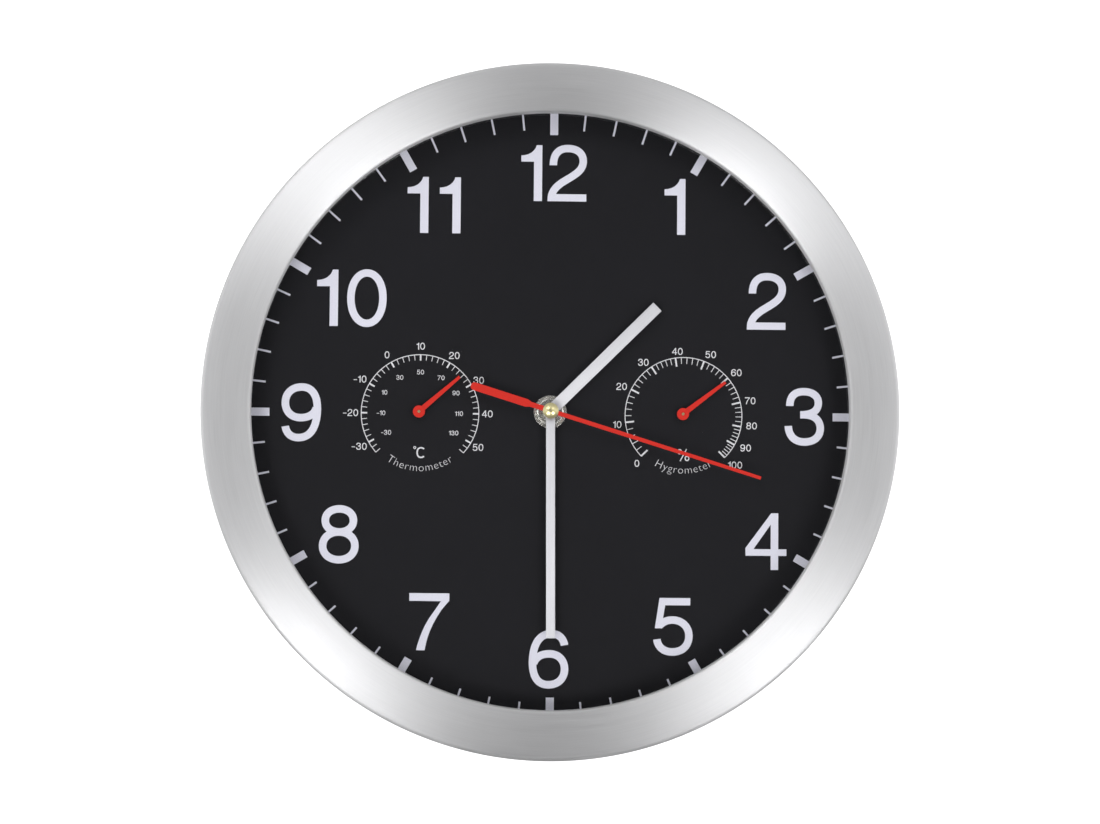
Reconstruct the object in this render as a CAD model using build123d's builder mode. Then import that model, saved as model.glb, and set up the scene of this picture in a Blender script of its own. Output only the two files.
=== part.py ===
from build123d import *
import os
from math import acos, atan2, cos, degrees, pi, radians, sin, tan

# Round wall clock with a thermometer and a hygrometer on its dial.
# Millimetres. The wall is the plane Y = 0 and the front faces -Y, with +Z up.
# The hands turn about the Y axis. A depth is a distance in front of the wall.
# Angles of hands and scales run clockwise from the top, in degrees.

# Case: a spun aluminium rim over a moulded back cover
case_radius = 150.0
case_depth = 40.0
rim_width = 21.5
rim_sheet = 1.0
rim_crown = 1.1
rim_outer_corner = 2.6
rim_inner_corner = 1.8
rim_back_corner = 1.6
rim_back = 1.2
rim_hem = 5.0
lip_height = 5.5
seat_gap = 0.2

# Glass and the ring that holds it off the dial
glass_thickness = 2.0
glass_chamfer = 0.3
hand_space = 12.3
spacer_behind_lip = 5.7
spacer_wall = 2.0
spacer_rim_gap = 0.4
spacer_flange = 2.0
spacer_skirt_wall = 2.0
spacer_skirt_drop = 7.5
glass_side_gap = 0.4
glass_collar_wall = 1.6
glass_collar_height = 4.0

# Dial and its print
dial_thickness = 1.2
dial_seat = 2.6
ink = 0.05
print_shift_x = 0.85
print_shift_z = -1.15
print_turn = 0.45
bore_shift_x = 0.4
bore_shift_z = -0.55
track_margin = 2.2

# The dial's artwork is drawn once for a size of dial: these are shares of the minute track's outer radius
hour_tick_length_share = 0.072
hour_tick_width_share = 0.0265
minute_tick_length_share = 0.053
minute_tick_width_share = 0.0064
numeral_height_share = 0.1864
numeral_circle_share = 0.803
instrument_spacing_share = 0.8682
scale_radius_share = 0.1932

# Artwork of the thermometer, on the left, and the hygrometer, on the right: shares of a scale's radius
label_circle_share = 1.145
label_height_share = 0.118
inner_label_circle_share = 0.702
inner_label_height_share = 0.078
celsius_height_share = 0.183
percent_height_share = 0.206
sign_drop_share = 0.67
thermometer_tick_share = 0.102
thermometer_minor_share = 0.094
hygrometer_tick_share = 0.149
hygrometer_minor_share = 0.11

# Instruments
scale_line = 0.35
major_tick_width = 0.7
minor_tick_width = 0.3
thermometer_end = 132.0
thermometer_reading = 49.0
hygrometer_reading = 52.6
cup_radius = 16.0
cup_height = 9.2
cup_wall = 0.8
cup_flange = 3.0
cup_boss_radius = 2.0
cup_boss_height = 1.0
cup_vent_radius = 1.8
cup_vent_circle = 9.5
cup_vents = 6
pointer_bush_radius = 2.0
pointer_bush_flange = 3.6
pointer_bush_lip = 0.9
pointer_bush_stand = 0.6
pointer_arbor_radius = 0.6
pointer_arbor_end = 3.7
pointer_running_gap = 0.04
spiral_collet_radius = 1.5
spiral_strip = 0.3
spiral_width = 3.5
spiral_pitch = 1.4
spiral_half_turns = 10
spiral_post_radius = 1.0
collet_margin = 0.5
pointer_tip_gap = 2.3
pointer_root_width = 2.4
pointer_tip_width = 1.3
pointer_hub_radius = 2.6
pointer_hub_lift = 1.6
pointer_hub_height = 1.7
pointer_blade_lift = 2.3
pointer_thickness = 0.3

# Back cover
floor_back = 2.6
floor_thickness = 2.2
stand_ring_inset = 26.0
stand_ring_width = 3.0
cover_side_gap = 0.7
cover_wall = 2.0
cover_wall_top_gap = 0.5
dial_support_wall = 2.0
screw_count = 6
screw_inset = 8.4
screw_turn = 15.0
screw_radius = 1.5
screw_head_radius = 2.9
screw_head_height = 1.9
screw_head_sink = 0.8
screw_hole_gap = 0.25
screw_seat_gap = 0.3
screw_post_radius = 4.2
screw_boss_radius = 3.9
screw_bite = 9.5
screw_slot_width = 0.8
screw_slot_depth = 0.9
pilot_spare = 1.0
collar_wall = 1.6
collar_height = 6.0
keyhole_ring_gap = 2.2
keyhole_radius = 4.6
keyhole_slot_radius = 2.3
keyhole_slot_length = 9.5
keyhole_pad = 1.2
keyhole_pad_margin = 4.0
vent_count = 7
vent_width = 1.8
vent_height = 26.0
vent_pitch = 5.0

# Quartz movement
contact_room = 3.4
movement_corner = 3.0
movement_back = 1.8
movement_wall = 1.2
movement_gap = 0.6
washer_thickness = 0.8
washer_radius = 10.0
case_lip = 0.9
case_lip_height = 0.8
case_lip_gap = 0.15
bush_radius = 4.0
bush_bore_gap = 0.05
bush_end_above_dial = 3.5
dial_hole_gap = 0.2
dial_washer_radius = 7.1
dial_washer_thickness = 0.5
nut_flats = 10.4
nut_height = 2.2
nut_chamfer = 0.45

# Gear train. One module sets the going train, and another the motion work.
going_module = 0.25
motion_module = 0.3
pressure_angle = 28.0
addendum_share = 0.85
dedendum_share = 1.15
flank_play = 0.04
rotor_teeth = 8
intermediate_wheel_teeth = 48
intermediate_pinion_teeth = 12
second_wheel_teeth = 60
second_pinion_teeth = 8
third_wheel_teeth = 60
third_pinion_teeth = 8
minute_gear_teeth = 64
minute_pinion_teeth = 12
motion_wheel_teeth = 36
motion_pinion_teeth = 10
hour_wheel_teeth = 40
set_gear_teeth = 24
wheel_thickness = 0.8
layer_step = 1.5
first_layer = 4.9
pinion_overhang = 0.1
arbor_radius = 0.45
second_arbor_radius = 0.6
pivot_gap = 0.04
pivot_play = 0.3
bearing_boss_radius = 1.6
bearing_boss_height = 1.2
bearing_depth = 0.8
wheel_hub_radius = 1.5
wheel_hub_height = 0.35
motion_sleeve_radius = 1.05
minute_pipe_radius = 1.7
minute_pipe_seat = 1.5
minute_pipe_collar = 2.3
minute_pipe_collar_height = 0.25
hour_pipe_bore = 1.75
hour_pipe_radius = 2.55
pipe_gap = 0.05
motion_stud_radius = 0.7
motion_stud_end = 0.3
intermediate_bearing = 40.0
third_bearing = 180.0
motion_bearing = -20.0
set_bearing = -10.0
rotor_bearing = 60.0

# Motor, circuit and battery
rotor_magnet_radius = 3.0
rotor_magnet_height = 2.0
stator_lift = 2.6
stator_thickness = 0.8
stator_radius = 5.4
stator_gap = 0.4
stator_arm = 3.6
stator_foot = 4.4
coil_height = 21.2
coil_centre = -1.0
coil_length = 19.0
coil_flange_radius = 3.5
coil_flange = 0.8
coil_winding_radius = 3.0
coil_tube_radius = 1.6
core_half_length = 15.0
core_width = 2.4
post_radius = 1.6
post_pin_radius = 0.6
post_pin_spare = 0.4
board_width = 9.5
board_height = 16.0
board_thickness = 0.8
board_left_gap = 0.6
board_base = 0.5
chip_side = 4.4
chip_height = 0.9
crystal_radius = 1.0
crystal_length = 6.0
battery_radius = 7.0
battery_length = 49.2
battery_nub_radius = 2.75
battery_nub = 1.0
battery_side_gap = 0.5
battery_back_gap = 0.6
divider_wall = 1.2
battery_corner = 0.5
contact_sheet = 0.3
contact_width = 8.0
contact_lead = 2.0
contact_lead_lift = 3.0
contact_gap = 0.1
contact_spring_wire = 0.3
contact_spring_outer = 4.4
contact_spring_inner = 2.6
contact_spring_turns = 2
knob_radius = 5.4
knob_height = 2.2
knob_scallops = 16
knob_scallop_radius = 0.5
knob_back_gap = 0.1
knob_well_gap = 0.8
knob_well_wall = 1.0
knob_floor_gap = 0.3
knob_shaft_radius = 1.2
knob_shaft_gap = 0.05

# Hands
hour_hand_length = 65.2
hour_hand_root = 4.9
hour_hand_tip = 5.15
hour_hand_hub = 3.25
minute_hand_length = 98.0
minute_hand_width = 3.9
minute_hand_hub = 2.5
hand_thickness = 0.4
hour_hand_lift = 4.3
minute_hand_lift = 6.3
second_hand_lift = 8.3
collet_height = 0.9
collet_front = 0.2
second_hand_length = 95.4
second_hand_root = 1.9
second_hand_tip = 1.4
second_hand_hub = 2.2
second_tail_length = 36.2
second_tail_width = 3.4
second_neck_length = 9.2
second_neck_width = 2.2
second_neck_shoulder = 1.6
second_hand_thickness = 0.25
second_tube_radius = 1.3
second_tube_height = 0.9
cap_radius = 3.4
cap_height = 1.6
cap_edge = 0.5
hour_hand_angle = 45.6
minute_hand_angle = 180.0
second_hand_angle = 107.7

# Radii and places that follow from the sizes above
rim_inner = case_radius - rim_width
spacer_inner = rim_inner + spacer_behind_lip
dial_radius = spacer_inner + dial_seat
screw_circle = case_radius - screw_inset
stand_ring_outer = case_radius - stand_ring_inset
keyhole_top = stand_ring_outer - stand_ring_width - keyhole_ring_gap - keyhole_pad_margin
keyhole_height = keyhole_top - keyhole_slot_radius - keyhole_slot_length
movement_side = battery_length + battery_nub + contact_room + 2 * movement_wall
half_side = movement_side / 2
inner_half = half_side - movement_wall

# The artwork's sizes
track_outer = spacer_inner - track_margin
hour_tick_length = track_outer * hour_tick_length_share
hour_tick_width = track_outer * hour_tick_width_share
minute_tick_length = track_outer * minute_tick_length_share
minute_tick_width = track_outer * minute_tick_width_share
numeral_height = track_outer * numeral_height_share
numeral_circle = track_outer * numeral_circle_share
instrument_spacing = track_outer * instrument_spacing_share
scale_radius = track_outer * scale_radius_share
label_circle = scale_radius * label_circle_share
label_height = scale_radius * label_height_share
inner_label_circle = scale_radius * inner_label_circle_share
inner_label_height = scale_radius * inner_label_height_share
celsius_height = scale_radius * celsius_height_share
percent_height = scale_radius * percent_height_share
sign_drop = scale_radius * sign_drop_share
thermometer_tick_length = scale_radius * thermometer_tick_share
thermometer_minor_length = scale_radius * thermometer_minor_share
hygrometer_tick_length = scale_radius * hygrometer_tick_share
hygrometer_minor_length = scale_radius * hygrometer_minor_share
pointer_length = scale_radius - pointer_tip_gap

# Depths that follow from the sizes above
front_edge = case_depth - rim_crown
lip_end = case_depth - lip_height
glass_front = lip_end - seat_gap
glass_back = glass_front - glass_thickness
dial_front = glass_back - hand_space
dial_back = dial_front - dial_thickness
floor_front = floor_back + floor_thickness
movement_front = dial_back - washer_thickness
movement_inner_front = movement_front - movement_wall
movement_inner_back = movement_back + movement_wall


def front_plane(depth, x=0, z=0, turn=0):
    """A plane at this depth that faces the front, with its own up direction turned clockwise."""
    return Plane(
        origin=(x, -depth, z),
        x_dir=(cos(radians(turn)), 0, -sin(radians(turn))),
        z_dir=(0, -1, 0),
    )


def section_plane(x=0, z=0):
    """A plane for profiles to revolve: its coordinates are a radius and a depth."""
    return Plane(origin=(x, 0, z), x_dir=(1, 0, 0), z_dir=(0, 0, -1))


def y_axis(x=0, z=0):
    return Axis((x, 0, z), (0, 1, 0))


def tube(outer, inner, back, front, place=(0, 0), mode=Mode.ADD):
    """A tube along Y, or a plain cylinder where the inner radius is zero."""
    with BuildSketch(front_plane(back, *place)) as profile:
        Circle(outer)
        if inner > 0:
            Circle(inner, mode=Mode.SUBTRACT)
    extrude(profile.sketch, amount=front - back, mode=mode)


def box(x0, x1, z0, z1, back, front, mode=Mode.ADD):
    """A block between these sides and depths."""
    with BuildSketch(front_plane(back, (x0 + x1) / 2, (z0 + z1) / 2)) as profile:
        Rectangle(x1 - x0, z1 - z0)
    extrude(profile.sketch, amount=front - back, mode=mode)


def finish(piece, name):
    piece.part.label = name
    export_step(piece.part, f"parts/{name}.step")


def from_bearing(start, distance, bearing):
    """The place at this distance from another, in a direction counted anticlockwise from +X."""
    return (
        start[0] + distance * cos(radians(bearing)),
        start[1] + distance * sin(radians(bearing)),
    )


os.makedirs("parts", exist_ok=True)

# Rim: a gently crowned front, a side that turns in as a hem at the back, and a lip down to the glass
rim_middle = (case_radius + rim_inner) / 2
rim_sides = (case_radius - rim_sheet, rim_inner + rim_sheet)
with BuildPart() as rim:
    with BuildSketch(section_plane()):
        with BuildLine():
            outer_crown = ThreePointArc(
                (case_radius, front_edge), (rim_middle, case_depth), (rim_inner, front_edge)
            )
            inner_crown = ThreePointArc(
                (rim_sides[0], front_edge - rim_sheet),
                (rim_middle, case_depth - rim_sheet),
                (rim_sides[1], front_edge - rim_sheet),
            )
            Polyline(
                outer_crown @ 1, (rim_inner, lip_end), (rim_sides[1], lip_end), inner_crown @ 1
            )
            Polyline(
                inner_crown @ 0,
                (rim_sides[0], rim_back + rim_sheet),
                (case_radius - rim_hem, rim_back + rim_sheet),
                (case_radius - rim_hem, rim_back),
                (case_radius, rim_back),
                outer_crown @ 0,
            )
        make_face()
        for place, radius in (
            ((case_radius, front_edge), rim_outer_corner),
            ((rim_sides[0], front_edge - rim_sheet), rim_outer_corner - rim_sheet),
            ((rim_inner, front_edge), rim_inner_corner),
            ((rim_sides[1], front_edge - rim_sheet), rim_inner_corner - rim_sheet),
            ((case_radius, rim_back), rim_back_corner),
            ((rim_sides[0], rim_back + rim_sheet), rim_back_corner - rim_sheet),
        ):
            fillet(vertices().sort_by_distance((*place, 0))[0], radius)
    revolve(axis=y_axis())
finish(rim, "rim")

# Glass: a flat disc with a fine chamfer, pressed behind the lip
glass_radius = spacer_inner + spacer_wall
with BuildPart() as glass:
    tube(glass_radius, 0, glass_back, glass_front)
    chamfer(glass.edges().filter_by(GeomType.CIRCLE), glass_chamfer)
finish(glass, "glass")

# Spacer ring: a wall from dial to glass, a flange out to the rim, a collar round the glass and six bosses
spacer_outer = case_radius - rim_sheet - spacer_rim_gap
glass_collar = glass_radius + glass_side_gap
flange_back = glass_back - spacer_flange
boss_back = dial_back - washer_thickness
screw_places = [
    from_bearing((0, 0), screw_circle, screw_turn + 360 * n / screw_count)
    for n in range(screw_count)
]
pilot_end = boss_back + screw_bite + pilot_spare
with BuildPart() as spacer_ring:
    tube(glass_radius, spacer_inner, dial_front, glass_back)
    tube(spacer_outer, glass_radius, flange_back, glass_back)
    tube(spacer_outer, spacer_outer - spacer_skirt_wall, flange_back - spacer_skirt_drop, flange_back)
    tube(glass_collar + glass_collar_wall, glass_collar, glass_back, glass_back + glass_collar_height)
    for place in screw_places:
        tube(screw_boss_radius, 0, boss_back, flange_back, place)
    for place in screw_places:
        tube(screw_radius, 0, boss_back, pilot_end, place, Mode.SUBTRACT)
finish(spacer_ring, "spacer_ring")

# Back cover: a pan with a standing ring for the wall, a wall under the dial and one inside the rim
cover_outer = case_radius - rim_sheet - cover_side_gap
cover_top = flange_back - spacer_skirt_drop - cover_wall_top_gap
opening_half = half_side + movement_gap
post_top = boss_back - screw_seat_gap
head_back = floor_back + screw_head_sink
head_front = head_back + screw_head_height
instrument_places = [
    (
        bore_shift_x + side * instrument_spacing / 2 * cos(radians(print_turn)),
        bore_shift_z - side * instrument_spacing / 2 * sin(radians(print_turn)),
    )
    for side in (-1, 1)
]


def keyhole(back, front, margin, mode=Mode.ADD):
    """The keyhole's shape, grown by a margin: a round entry with a slot above it."""
    slot_middle = keyhole_height + keyhole_slot_length / 2
    slot_top = keyhole_height + keyhole_slot_length
    with BuildSketch(front_plane(back)) as profile:
        with Locations((0, keyhole_height)):
            Circle(keyhole_radius + margin)
        with Locations((0, slot_middle)):
            Rectangle(2 * (keyhole_slot_radius + margin), keyhole_slot_length)
        with Locations((0, slot_top)):
            Circle(keyhole_slot_radius + margin)
    extrude(profile.sketch, amount=front - back, mode=mode)


with BuildPart() as back_cover:
    tube(cover_outer, 0, floor_back, floor_front)
    tube(stand_ring_outer, stand_ring_outer - stand_ring_width, 0, floor_back)
    tube(spacer_inner + dial_support_wall, spacer_inner, floor_front, dial_back)
    tube(cover_outer, cover_outer - cover_wall, floor_front, cover_top)
    for place in screw_places:
        tube(screw_post_radius, 0, floor_front, post_top, place)
    collar_half = opening_half + collar_wall
    box(-collar_half, collar_half, -collar_half, collar_half, floor_front, floor_front + collar_height)
    keyhole(floor_front, floor_front + keyhole_pad, keyhole_pad_margin)
    box(
        -opening_half,
        opening_half,
        -opening_half,
        opening_half,
        floor_back,
        floor_front + collar_height,
        Mode.SUBTRACT,
    )
    keyhole(floor_back, floor_front + keyhole_pad, 0, Mode.SUBTRACT)
    for place in screw_places:
        tube(screw_radius + screw_hole_gap, 0, floor_back, post_top, place, Mode.SUBTRACT)
        tube(screw_head_radius + screw_hole_gap, 0, floor_back, head_front, place, Mode.SUBTRACT)
    for place in instrument_places:
        with BuildSketch(front_plane(floor_back, *place)):
            with GridLocations(vent_pitch, 0, vent_count, 1):
                SlotOverall(vent_height, vent_width, rotation=90)
        extrude(amount=floor_thickness, mode=Mode.SUBTRACT)
finish(back_cover, "back_cover")

# Back screws: pan heads sunk in the cover, with a straight slot, one group
with BuildPart() as back_screws:
    for place in screw_places:
        tube(screw_head_radius, 0, head_back, head_front, place)
        tube(screw_radius, 0, head_front, boss_back + screw_bite, place)
    for place in screw_places:
        box(
            place[0] - screw_head_radius,
            place[0] + screw_head_radius,
            place[1] - screw_slot_width / 2,
            place[1] + screw_slot_width / 2,
            head_back,
            head_back + screw_slot_depth,
            Mode.SUBTRACT,
        )
finish(back_screws, "back_screws")

# Dial: a plain disc with a hole for the movement's bush and one for each pointer's bush
with BuildPart() as dial:
    tube(dial_radius, 0, dial_back, dial_front)
    tube(bush_radius + dial_hole_gap, 0, dial_back, dial_front, (0, 0), Mode.SUBTRACT)
    for place in instrument_places:
        tube(pointer_bush_radius, 0, dial_back, dial_front, place, Mode.SUBTRACT)
finish(dial, "dial")

# Digits, drawn one unit high on a baseline at zero. Round ones are strokes along Bezier curves.
stroke_share = 0.132
digit_width_share = 0.7
one_width_share = 0.372
digit_gap_share = 0.14
minus_width_share = 0.5
flat_share = 0.55
full_share = 0.62


def pen(start_share, *curve_shares):
    """A stroke along curves, each given by its two control points and its end."""
    with BuildLine() as path:
        for first, second, end in curve_shares:
            Bezier(start_share, first, second, end)
            start_share = end
    trace(path.line, line_width=stroke_share)


def ring(centre_share, radii_shares):
    """A closed stroke, a little fuller at its sides than an ellipse."""
    x, y = centre_share
    across, up = radii_shares
    for half in (-across, across):
        pen(
            (x, y + up),
            ((x + flat_share * half, y + up), (x + half, y + full_share * up), (x + half, y)),
            ((x + half, y - full_share * up), (x + flat_share * half, y - up), (x, y - up)),
        )


def zero():
    ring((0.35, 0.5), (0.283, 0.447))


def one():
    Polygon(
        (0.226, 0),
        (0.372, 0),
        (0.372, 1),
        (0.272, 1),
        (0.258, 0.955),
        (0.228, 0.91),
        (0.18, 0.865),
        (0.12, 0.833),
        (0.06, 0.818),
        (0, 0.812),
        (0, 0.703),
        (0.226, 0.703),
    )


def two():
    pen(
        (0.1, 0.644),
        ((0.1, 0.85), (0.2, 0.947), (0.36, 0.947)),
        ((0.53, 0.947), (0.632, 0.86), (0.632, 0.72)),
        ((0.632, 0.56), (0.49, 0.48), (0.36, 0.4)),
        ((0.19, 0.3), (0.068, 0.21), (0.068, 0.03)),
    )
    Polygon((0, 0), (0.69, 0), (0.69, 0.128), (0.01, 0.128))


def three():
    pen(
        (0.094, 0.69),
        ((0.094, 0.87), (0.19, 0.947), (0.345, 0.947)),
        ((0.5, 0.947), (0.602, 0.87), (0.602, 0.75)),
        ((0.602, 0.6), (0.48, 0.535), (0.28, 0.535)),
    )
    pen(
        (0.068, 0.335),
        ((0.075, 0.15), (0.19, 0.053), (0.35, 0.053)),
        ((0.53, 0.053), (0.637, 0.15), (0.637, 0.295)),
        ((0.637, 0.45), (0.52, 0.535), (0.36, 0.535)),
    )


def four():
    Polygon(
        (0, 0.249),
        (0, 0.385),
        (0.455, 1),
        (0.579, 1),
        (0.579, 0.365),
        (0.725, 0.365),
        (0.725, 0.249),
        (0.579, 0.249),
        (0.579, 0),
        (0.446, 0),
        (0.446, 0.249),
    )
    Polygon((0.14, 0.365), (0.446, 0.365), (0.446, 0.8), mode=Mode.SUBTRACT)


def five():
    pen(
        (0.064, 0.274),
        ((0.085, 0.13), (0.19, 0.053), (0.335, 0.053)),
        ((0.51, 0.053), (0.63, 0.16), (0.63, 0.335)),
        ((0.63, 0.5), (0.505, 0.614), (0.335, 0.614)),
        ((0.235, 0.614), (0.155, 0.57), (0.1, 0.5)),
    )
    Polygon((0.109, 1), (0.22, 1), (0.209, 0.874), (0.167, 0.615), (0.151, 0.467), (0.028, 0.467))
    Polygon((0.109, 1), (0.651, 1), (0.651, 0.872), (0.109, 0.872))


def six():
    pen(
        (0.632, 0.747),
        ((0.61, 0.87), (0.53, 0.947), (0.4, 0.947)),
        ((0.17, 0.947), (0.071, 0.73), (0.071, 0.44)),
        ((0.071, 0.19), (0.17, 0.053), (0.35, 0.053)),
    )
    pen(
        (0.35, 0.053),
        ((0.52, 0.053), (0.635, 0.165), (0.635, 0.325)),
        ((0.635, 0.485), (0.53, 0.595), (0.365, 0.595)),
        ((0.22, 0.595), (0.12, 0.53), (0.09, 0.42)),
    )


def seven():
    Polygon((0, 1), (0.702, 1), (0.702, 0.86), (0, 0.865))
    Polygon(
        (0.702, 0.87),
        (0.574, 0.72),
        (0.497, 0.6),
        (0.423, 0.465),
        (0.37, 0.345),
        (0.33, 0.233),
        (0.3, 0.12),
        (0.277, 0),
        (0.128, 0),
        (0.148, 0.09),
        (0.179, 0.187),
        (0.22, 0.3),
        (0.272, 0.42),
        (0.35, 0.56),
        (0.446, 0.698),
        (0.558, 0.865),
    )


def eight():
    ring((0.355, 0.744), (0.247, 0.203))
    ring((0.35, 0.297), (0.283, 0.244))


def nine():
    with Locations(Location((0.7, 1), 180)):
        add(digits["6"])


def minus():
    Polygon((0, 0.36), (0.5, 0.36), (0.5, 0.47), (0, 0.47))


def letter_c():
    pen(
        (0.7, 0.83),
        ((0.63, 0.91), (0.54, 0.947), (0.43, 0.947)),
        ((0.18, 0.947), (0.066, 0.76), (0.066, 0.5)),
        ((0.066, 0.24), (0.18, 0.053), (0.43, 0.053)),
        ((0.54, 0.053), (0.63, 0.09), (0.7, 0.17)),
    )


digit_strokes = {
    "0": zero,
    "1": one,
    "2": two,
    "3": three,
    "4": four,
    "5": five,
    "6": six,
    "7": seven,
    "8": eight,
    "9": nine,
    "-": minus,
    "C": letter_c,
}
digits = {}
for character, strokes in digit_strokes.items():
    with BuildSketch() as digit:
        strokes()
    digits[character] = digit.sketch


def character_width_share(character):
    return {"1": one_width_share, "-": minus_width_share}.get(character, digit_width_share)


def label(text, centre, height, gap_share=digit_gap_share):
    """The digits of a number, set upright with the middle of the whole at this place."""
    width_share = sum(character_width_share(c) for c in text) + gap_share * (len(text) - 1)
    left = centre[0] - width_share * height / 2
    for character in text:
        with Locations((left, centre[1] - height / 2)):
            add(scale(digits[character], by=height, mode=Mode.PRIVATE))
        left += (character_width_share(character) + gap_share) * height


def clock_place(radius, angle, centre=(0, 0)):
    """A place on the dial at this radius, at an angle clockwise from the top."""
    return (centre[0] + radius * sin(radians(angle)), centre[1] + radius * cos(radians(angle)))


def tick(inner, outer, width, angle, centre=(0, 0)):
    """A radial mark, drawn in the open sketch."""
    with Locations(clock_place((inner + outer) / 2, angle, centre)):
        Rectangle(width, outer - inner, rotation=-angle)


print_plane = front_plane(dial_front, print_shift_x, print_shift_z, print_turn)

# Hour numerals, 1 to 12: upright, and placed by eye so that each clears the track evenly
numeral_place_shares = (
    (0.501, 0.864),
    (0.881, 0.475),
    (1.038, 0.001),
    (0.879, -0.513),
    (0.502, -0.863),
    (-0.007, -1.0),
    (-0.495, -0.851),
    (-0.866, -0.498),
    (-1.025, -0.001),
    (-0.825, 0.471),
    (-0.492, 0.859),
    (0.001, 0.997),
)
two_digit_gap_shares = {10: 0.158, 11: 0.198, 12: 0.097}
with BuildPart() as hour_numerals:
    with BuildSketch(print_plane):
        for hour, (across_share, up_share) in enumerate(numeral_place_shares, 1):
            place = (numeral_circle * across_share, numeral_circle * up_share)
            gap_share = two_digit_gap_shares.get(hour, digit_gap_share)
            label(str(hour), place, numeral_height, gap_share)
    extrude(amount=ink)
finish(hour_numerals, "hour_numerals")

# Minute track: twelve wide ticks and four narrow ones between each pair
with BuildPart() as minute_track:
    with BuildSketch(print_plane):
        for minute in range(60):
            if minute % 5:
                tick(track_outer - minute_tick_length, track_outer, minute_tick_width, 6 * minute)
            else:
                tick(track_outer - hour_tick_length, track_outer, hour_tick_width, 6 * minute)
    extrude(amount=ink)
finish(minute_track, "minute_track")

# Thermometer scale: ten degrees Celsius to each 30 degrees of turn, with Fahrenheit numbers inside
thermometer_centre = (-instrument_spacing / 2, 0)
hygrometer_centre = (instrument_spacing / 2, 0)
degrees_per_celsius = 3
top_celsius = 10
celsius_step = 10
celsius_marks = range(-30, 51, celsius_step)
minor_celsius = range(-34, 55, 2)
fahrenheit_of_celsius = {c: 2 * c + 30 for c in celsius_marks}
side_shift_share = 0.3
long_label_pull = 1.0
celsius_left_share = 0.3
degree_up_share = 0.46
degree_left_share = 0.66


def scale_arc(centre, start, end):
    """The fine line that carries a scale's ticks, between two clockwise angles."""
    with BuildLine() as arc:
        CenterArc(centre, scale_radius, 90 - end, end - start)
    trace(arc.line, line_width=scale_line)


def scale_tick(length, width, angle, centre):
    """A tick that stands inside a scale's fine line."""
    tick(scale_radius - length, scale_radius, width, angle, centre)


with BuildPart() as thermometer_scale:
    with BuildSketch(print_plane):
        scale_arc(thermometer_centre, -thermometer_end, thermometer_end)
        for celsius in minor_celsius:
            angle = (celsius - top_celsius) * degrees_per_celsius
            if celsius in celsius_marks:
                length, width = thermometer_tick_length, major_tick_width
            else:
                length, width = thermometer_minor_length, minor_tick_width
            scale_tick(length, width, angle, thermometer_centre)
        for celsius in celsius_marks:
            angle = (celsius - top_celsius) * degrees_per_celsius
            outside = clock_place(label_circle, angle, thermometer_centre)
            if celsius < 0:
                outside = (outside[0] - side_shift_share * label_height, outside[1])
            label(str(celsius), outside, label_height)
            fahrenheit = str(fahrenheit_of_celsius[celsius])
            pull = long_label_pull if len(fahrenheit) > 2 else 0
            inside = clock_place(inner_label_circle - pull, angle, thermometer_centre)
            label(fahrenheit, inside, inner_label_height)
        # The C under the centre, with the degree sign at its upper left
        sign_stroke = celsius_height * stroke_share
        sign_left = thermometer_centre[0] - celsius_height * celsius_left_share
        sign_foot = thermometer_centre[1] - sign_drop - celsius_height / 2
        with Locations((sign_left, sign_foot)):
            add(scale(digits["C"], by=celsius_height, mode=Mode.PRIVATE))
        degree_left = celsius_height * degree_left_share
        degree_up = celsius_height * degree_up_share
        degree_place = (thermometer_centre[0] - degree_left / 2 - sign_stroke, -sign_drop + degree_up)
        with Locations(degree_place):
            Circle(sign_stroke)
            Circle(sign_stroke / 2, mode=Mode.SUBTRACT)
    extrude(amount=ink)
finish(thermometer_scale, "thermometer_scale")

# Hygrometer scale: relative humidity, uneven because the spiral's response is
humidity_angles = (-133.9, -97.0, -63.7, -33.5, -8.2, 20.4, 49.1, 76.1, 100.2, 119.2, 134.9)
humidity_step = 10
# Each number's angle and its share of the label circle, placed by eye
humidity_label_places = (
    (-135.9, 0.995),
    (-98.0, 0.998),
    (-65.1, 1.022),
    (-37.3, 0.998),
    (-5.7, 0.968),
    (23.6, 1.005),
    (50.3, 1.024),
    (76.7, 1.024),
    (97.8, 1.028),
    (116.8, 1.043),
    (133.2, 1.062),
)
minor_ticks = 5
percent_stroke_share = 0.09
percent_slant = 28
percent_ring_share = 0.195
percent_ring_up_share = 0.222
with BuildPart() as hygrometer_scale:
    with BuildSketch(print_plane):
        scale_arc(hygrometer_centre, humidity_angles[0], humidity_angles[-1])
        for angle in humidity_angles:
            scale_tick(hygrometer_tick_length, major_tick_width, angle, hygrometer_centre)
        for n, (angle, circle_share) in enumerate(humidity_label_places):
            place = clock_place(label_circle * circle_share, angle, hygrometer_centre)
            label(str(n * humidity_step), place, label_height)
        for low, high in zip(humidity_angles, humidity_angles[1:]):
            for n in range(1, minor_ticks):
                angle = low + (high - low) * n / minor_ticks
                scale_tick(hygrometer_minor_length, minor_tick_width, angle, hygrometer_centre)
        # The per cent sign: a slanted bar between two small rings
        percent_stroke = percent_height * percent_stroke_share
        ring_radii = (percent_height * percent_ring_share, percent_height * percent_ring_up_share)
        percent_middle = (hygrometer_centre[0], hygrometer_centre[1] - sign_drop)
        with Locations(percent_middle):
            Rectangle(percent_stroke, percent_height / cos(radians(percent_slant)), rotation=-percent_slant)
        for side in (-1, 1):
            ring_place = (side * percent_height / 3.3, -side * percent_height / 3.6)
            with Locations(Vector(percent_middle) + Vector(ring_place)):
                Ellipse(*ring_radii)
                Ellipse(*(radius - percent_stroke for radius in ring_radii), mode=Mode.SUBTRACT)
    extrude(amount=ink)
finish(hygrometer_scale, "hygrometer_scale")

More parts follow.
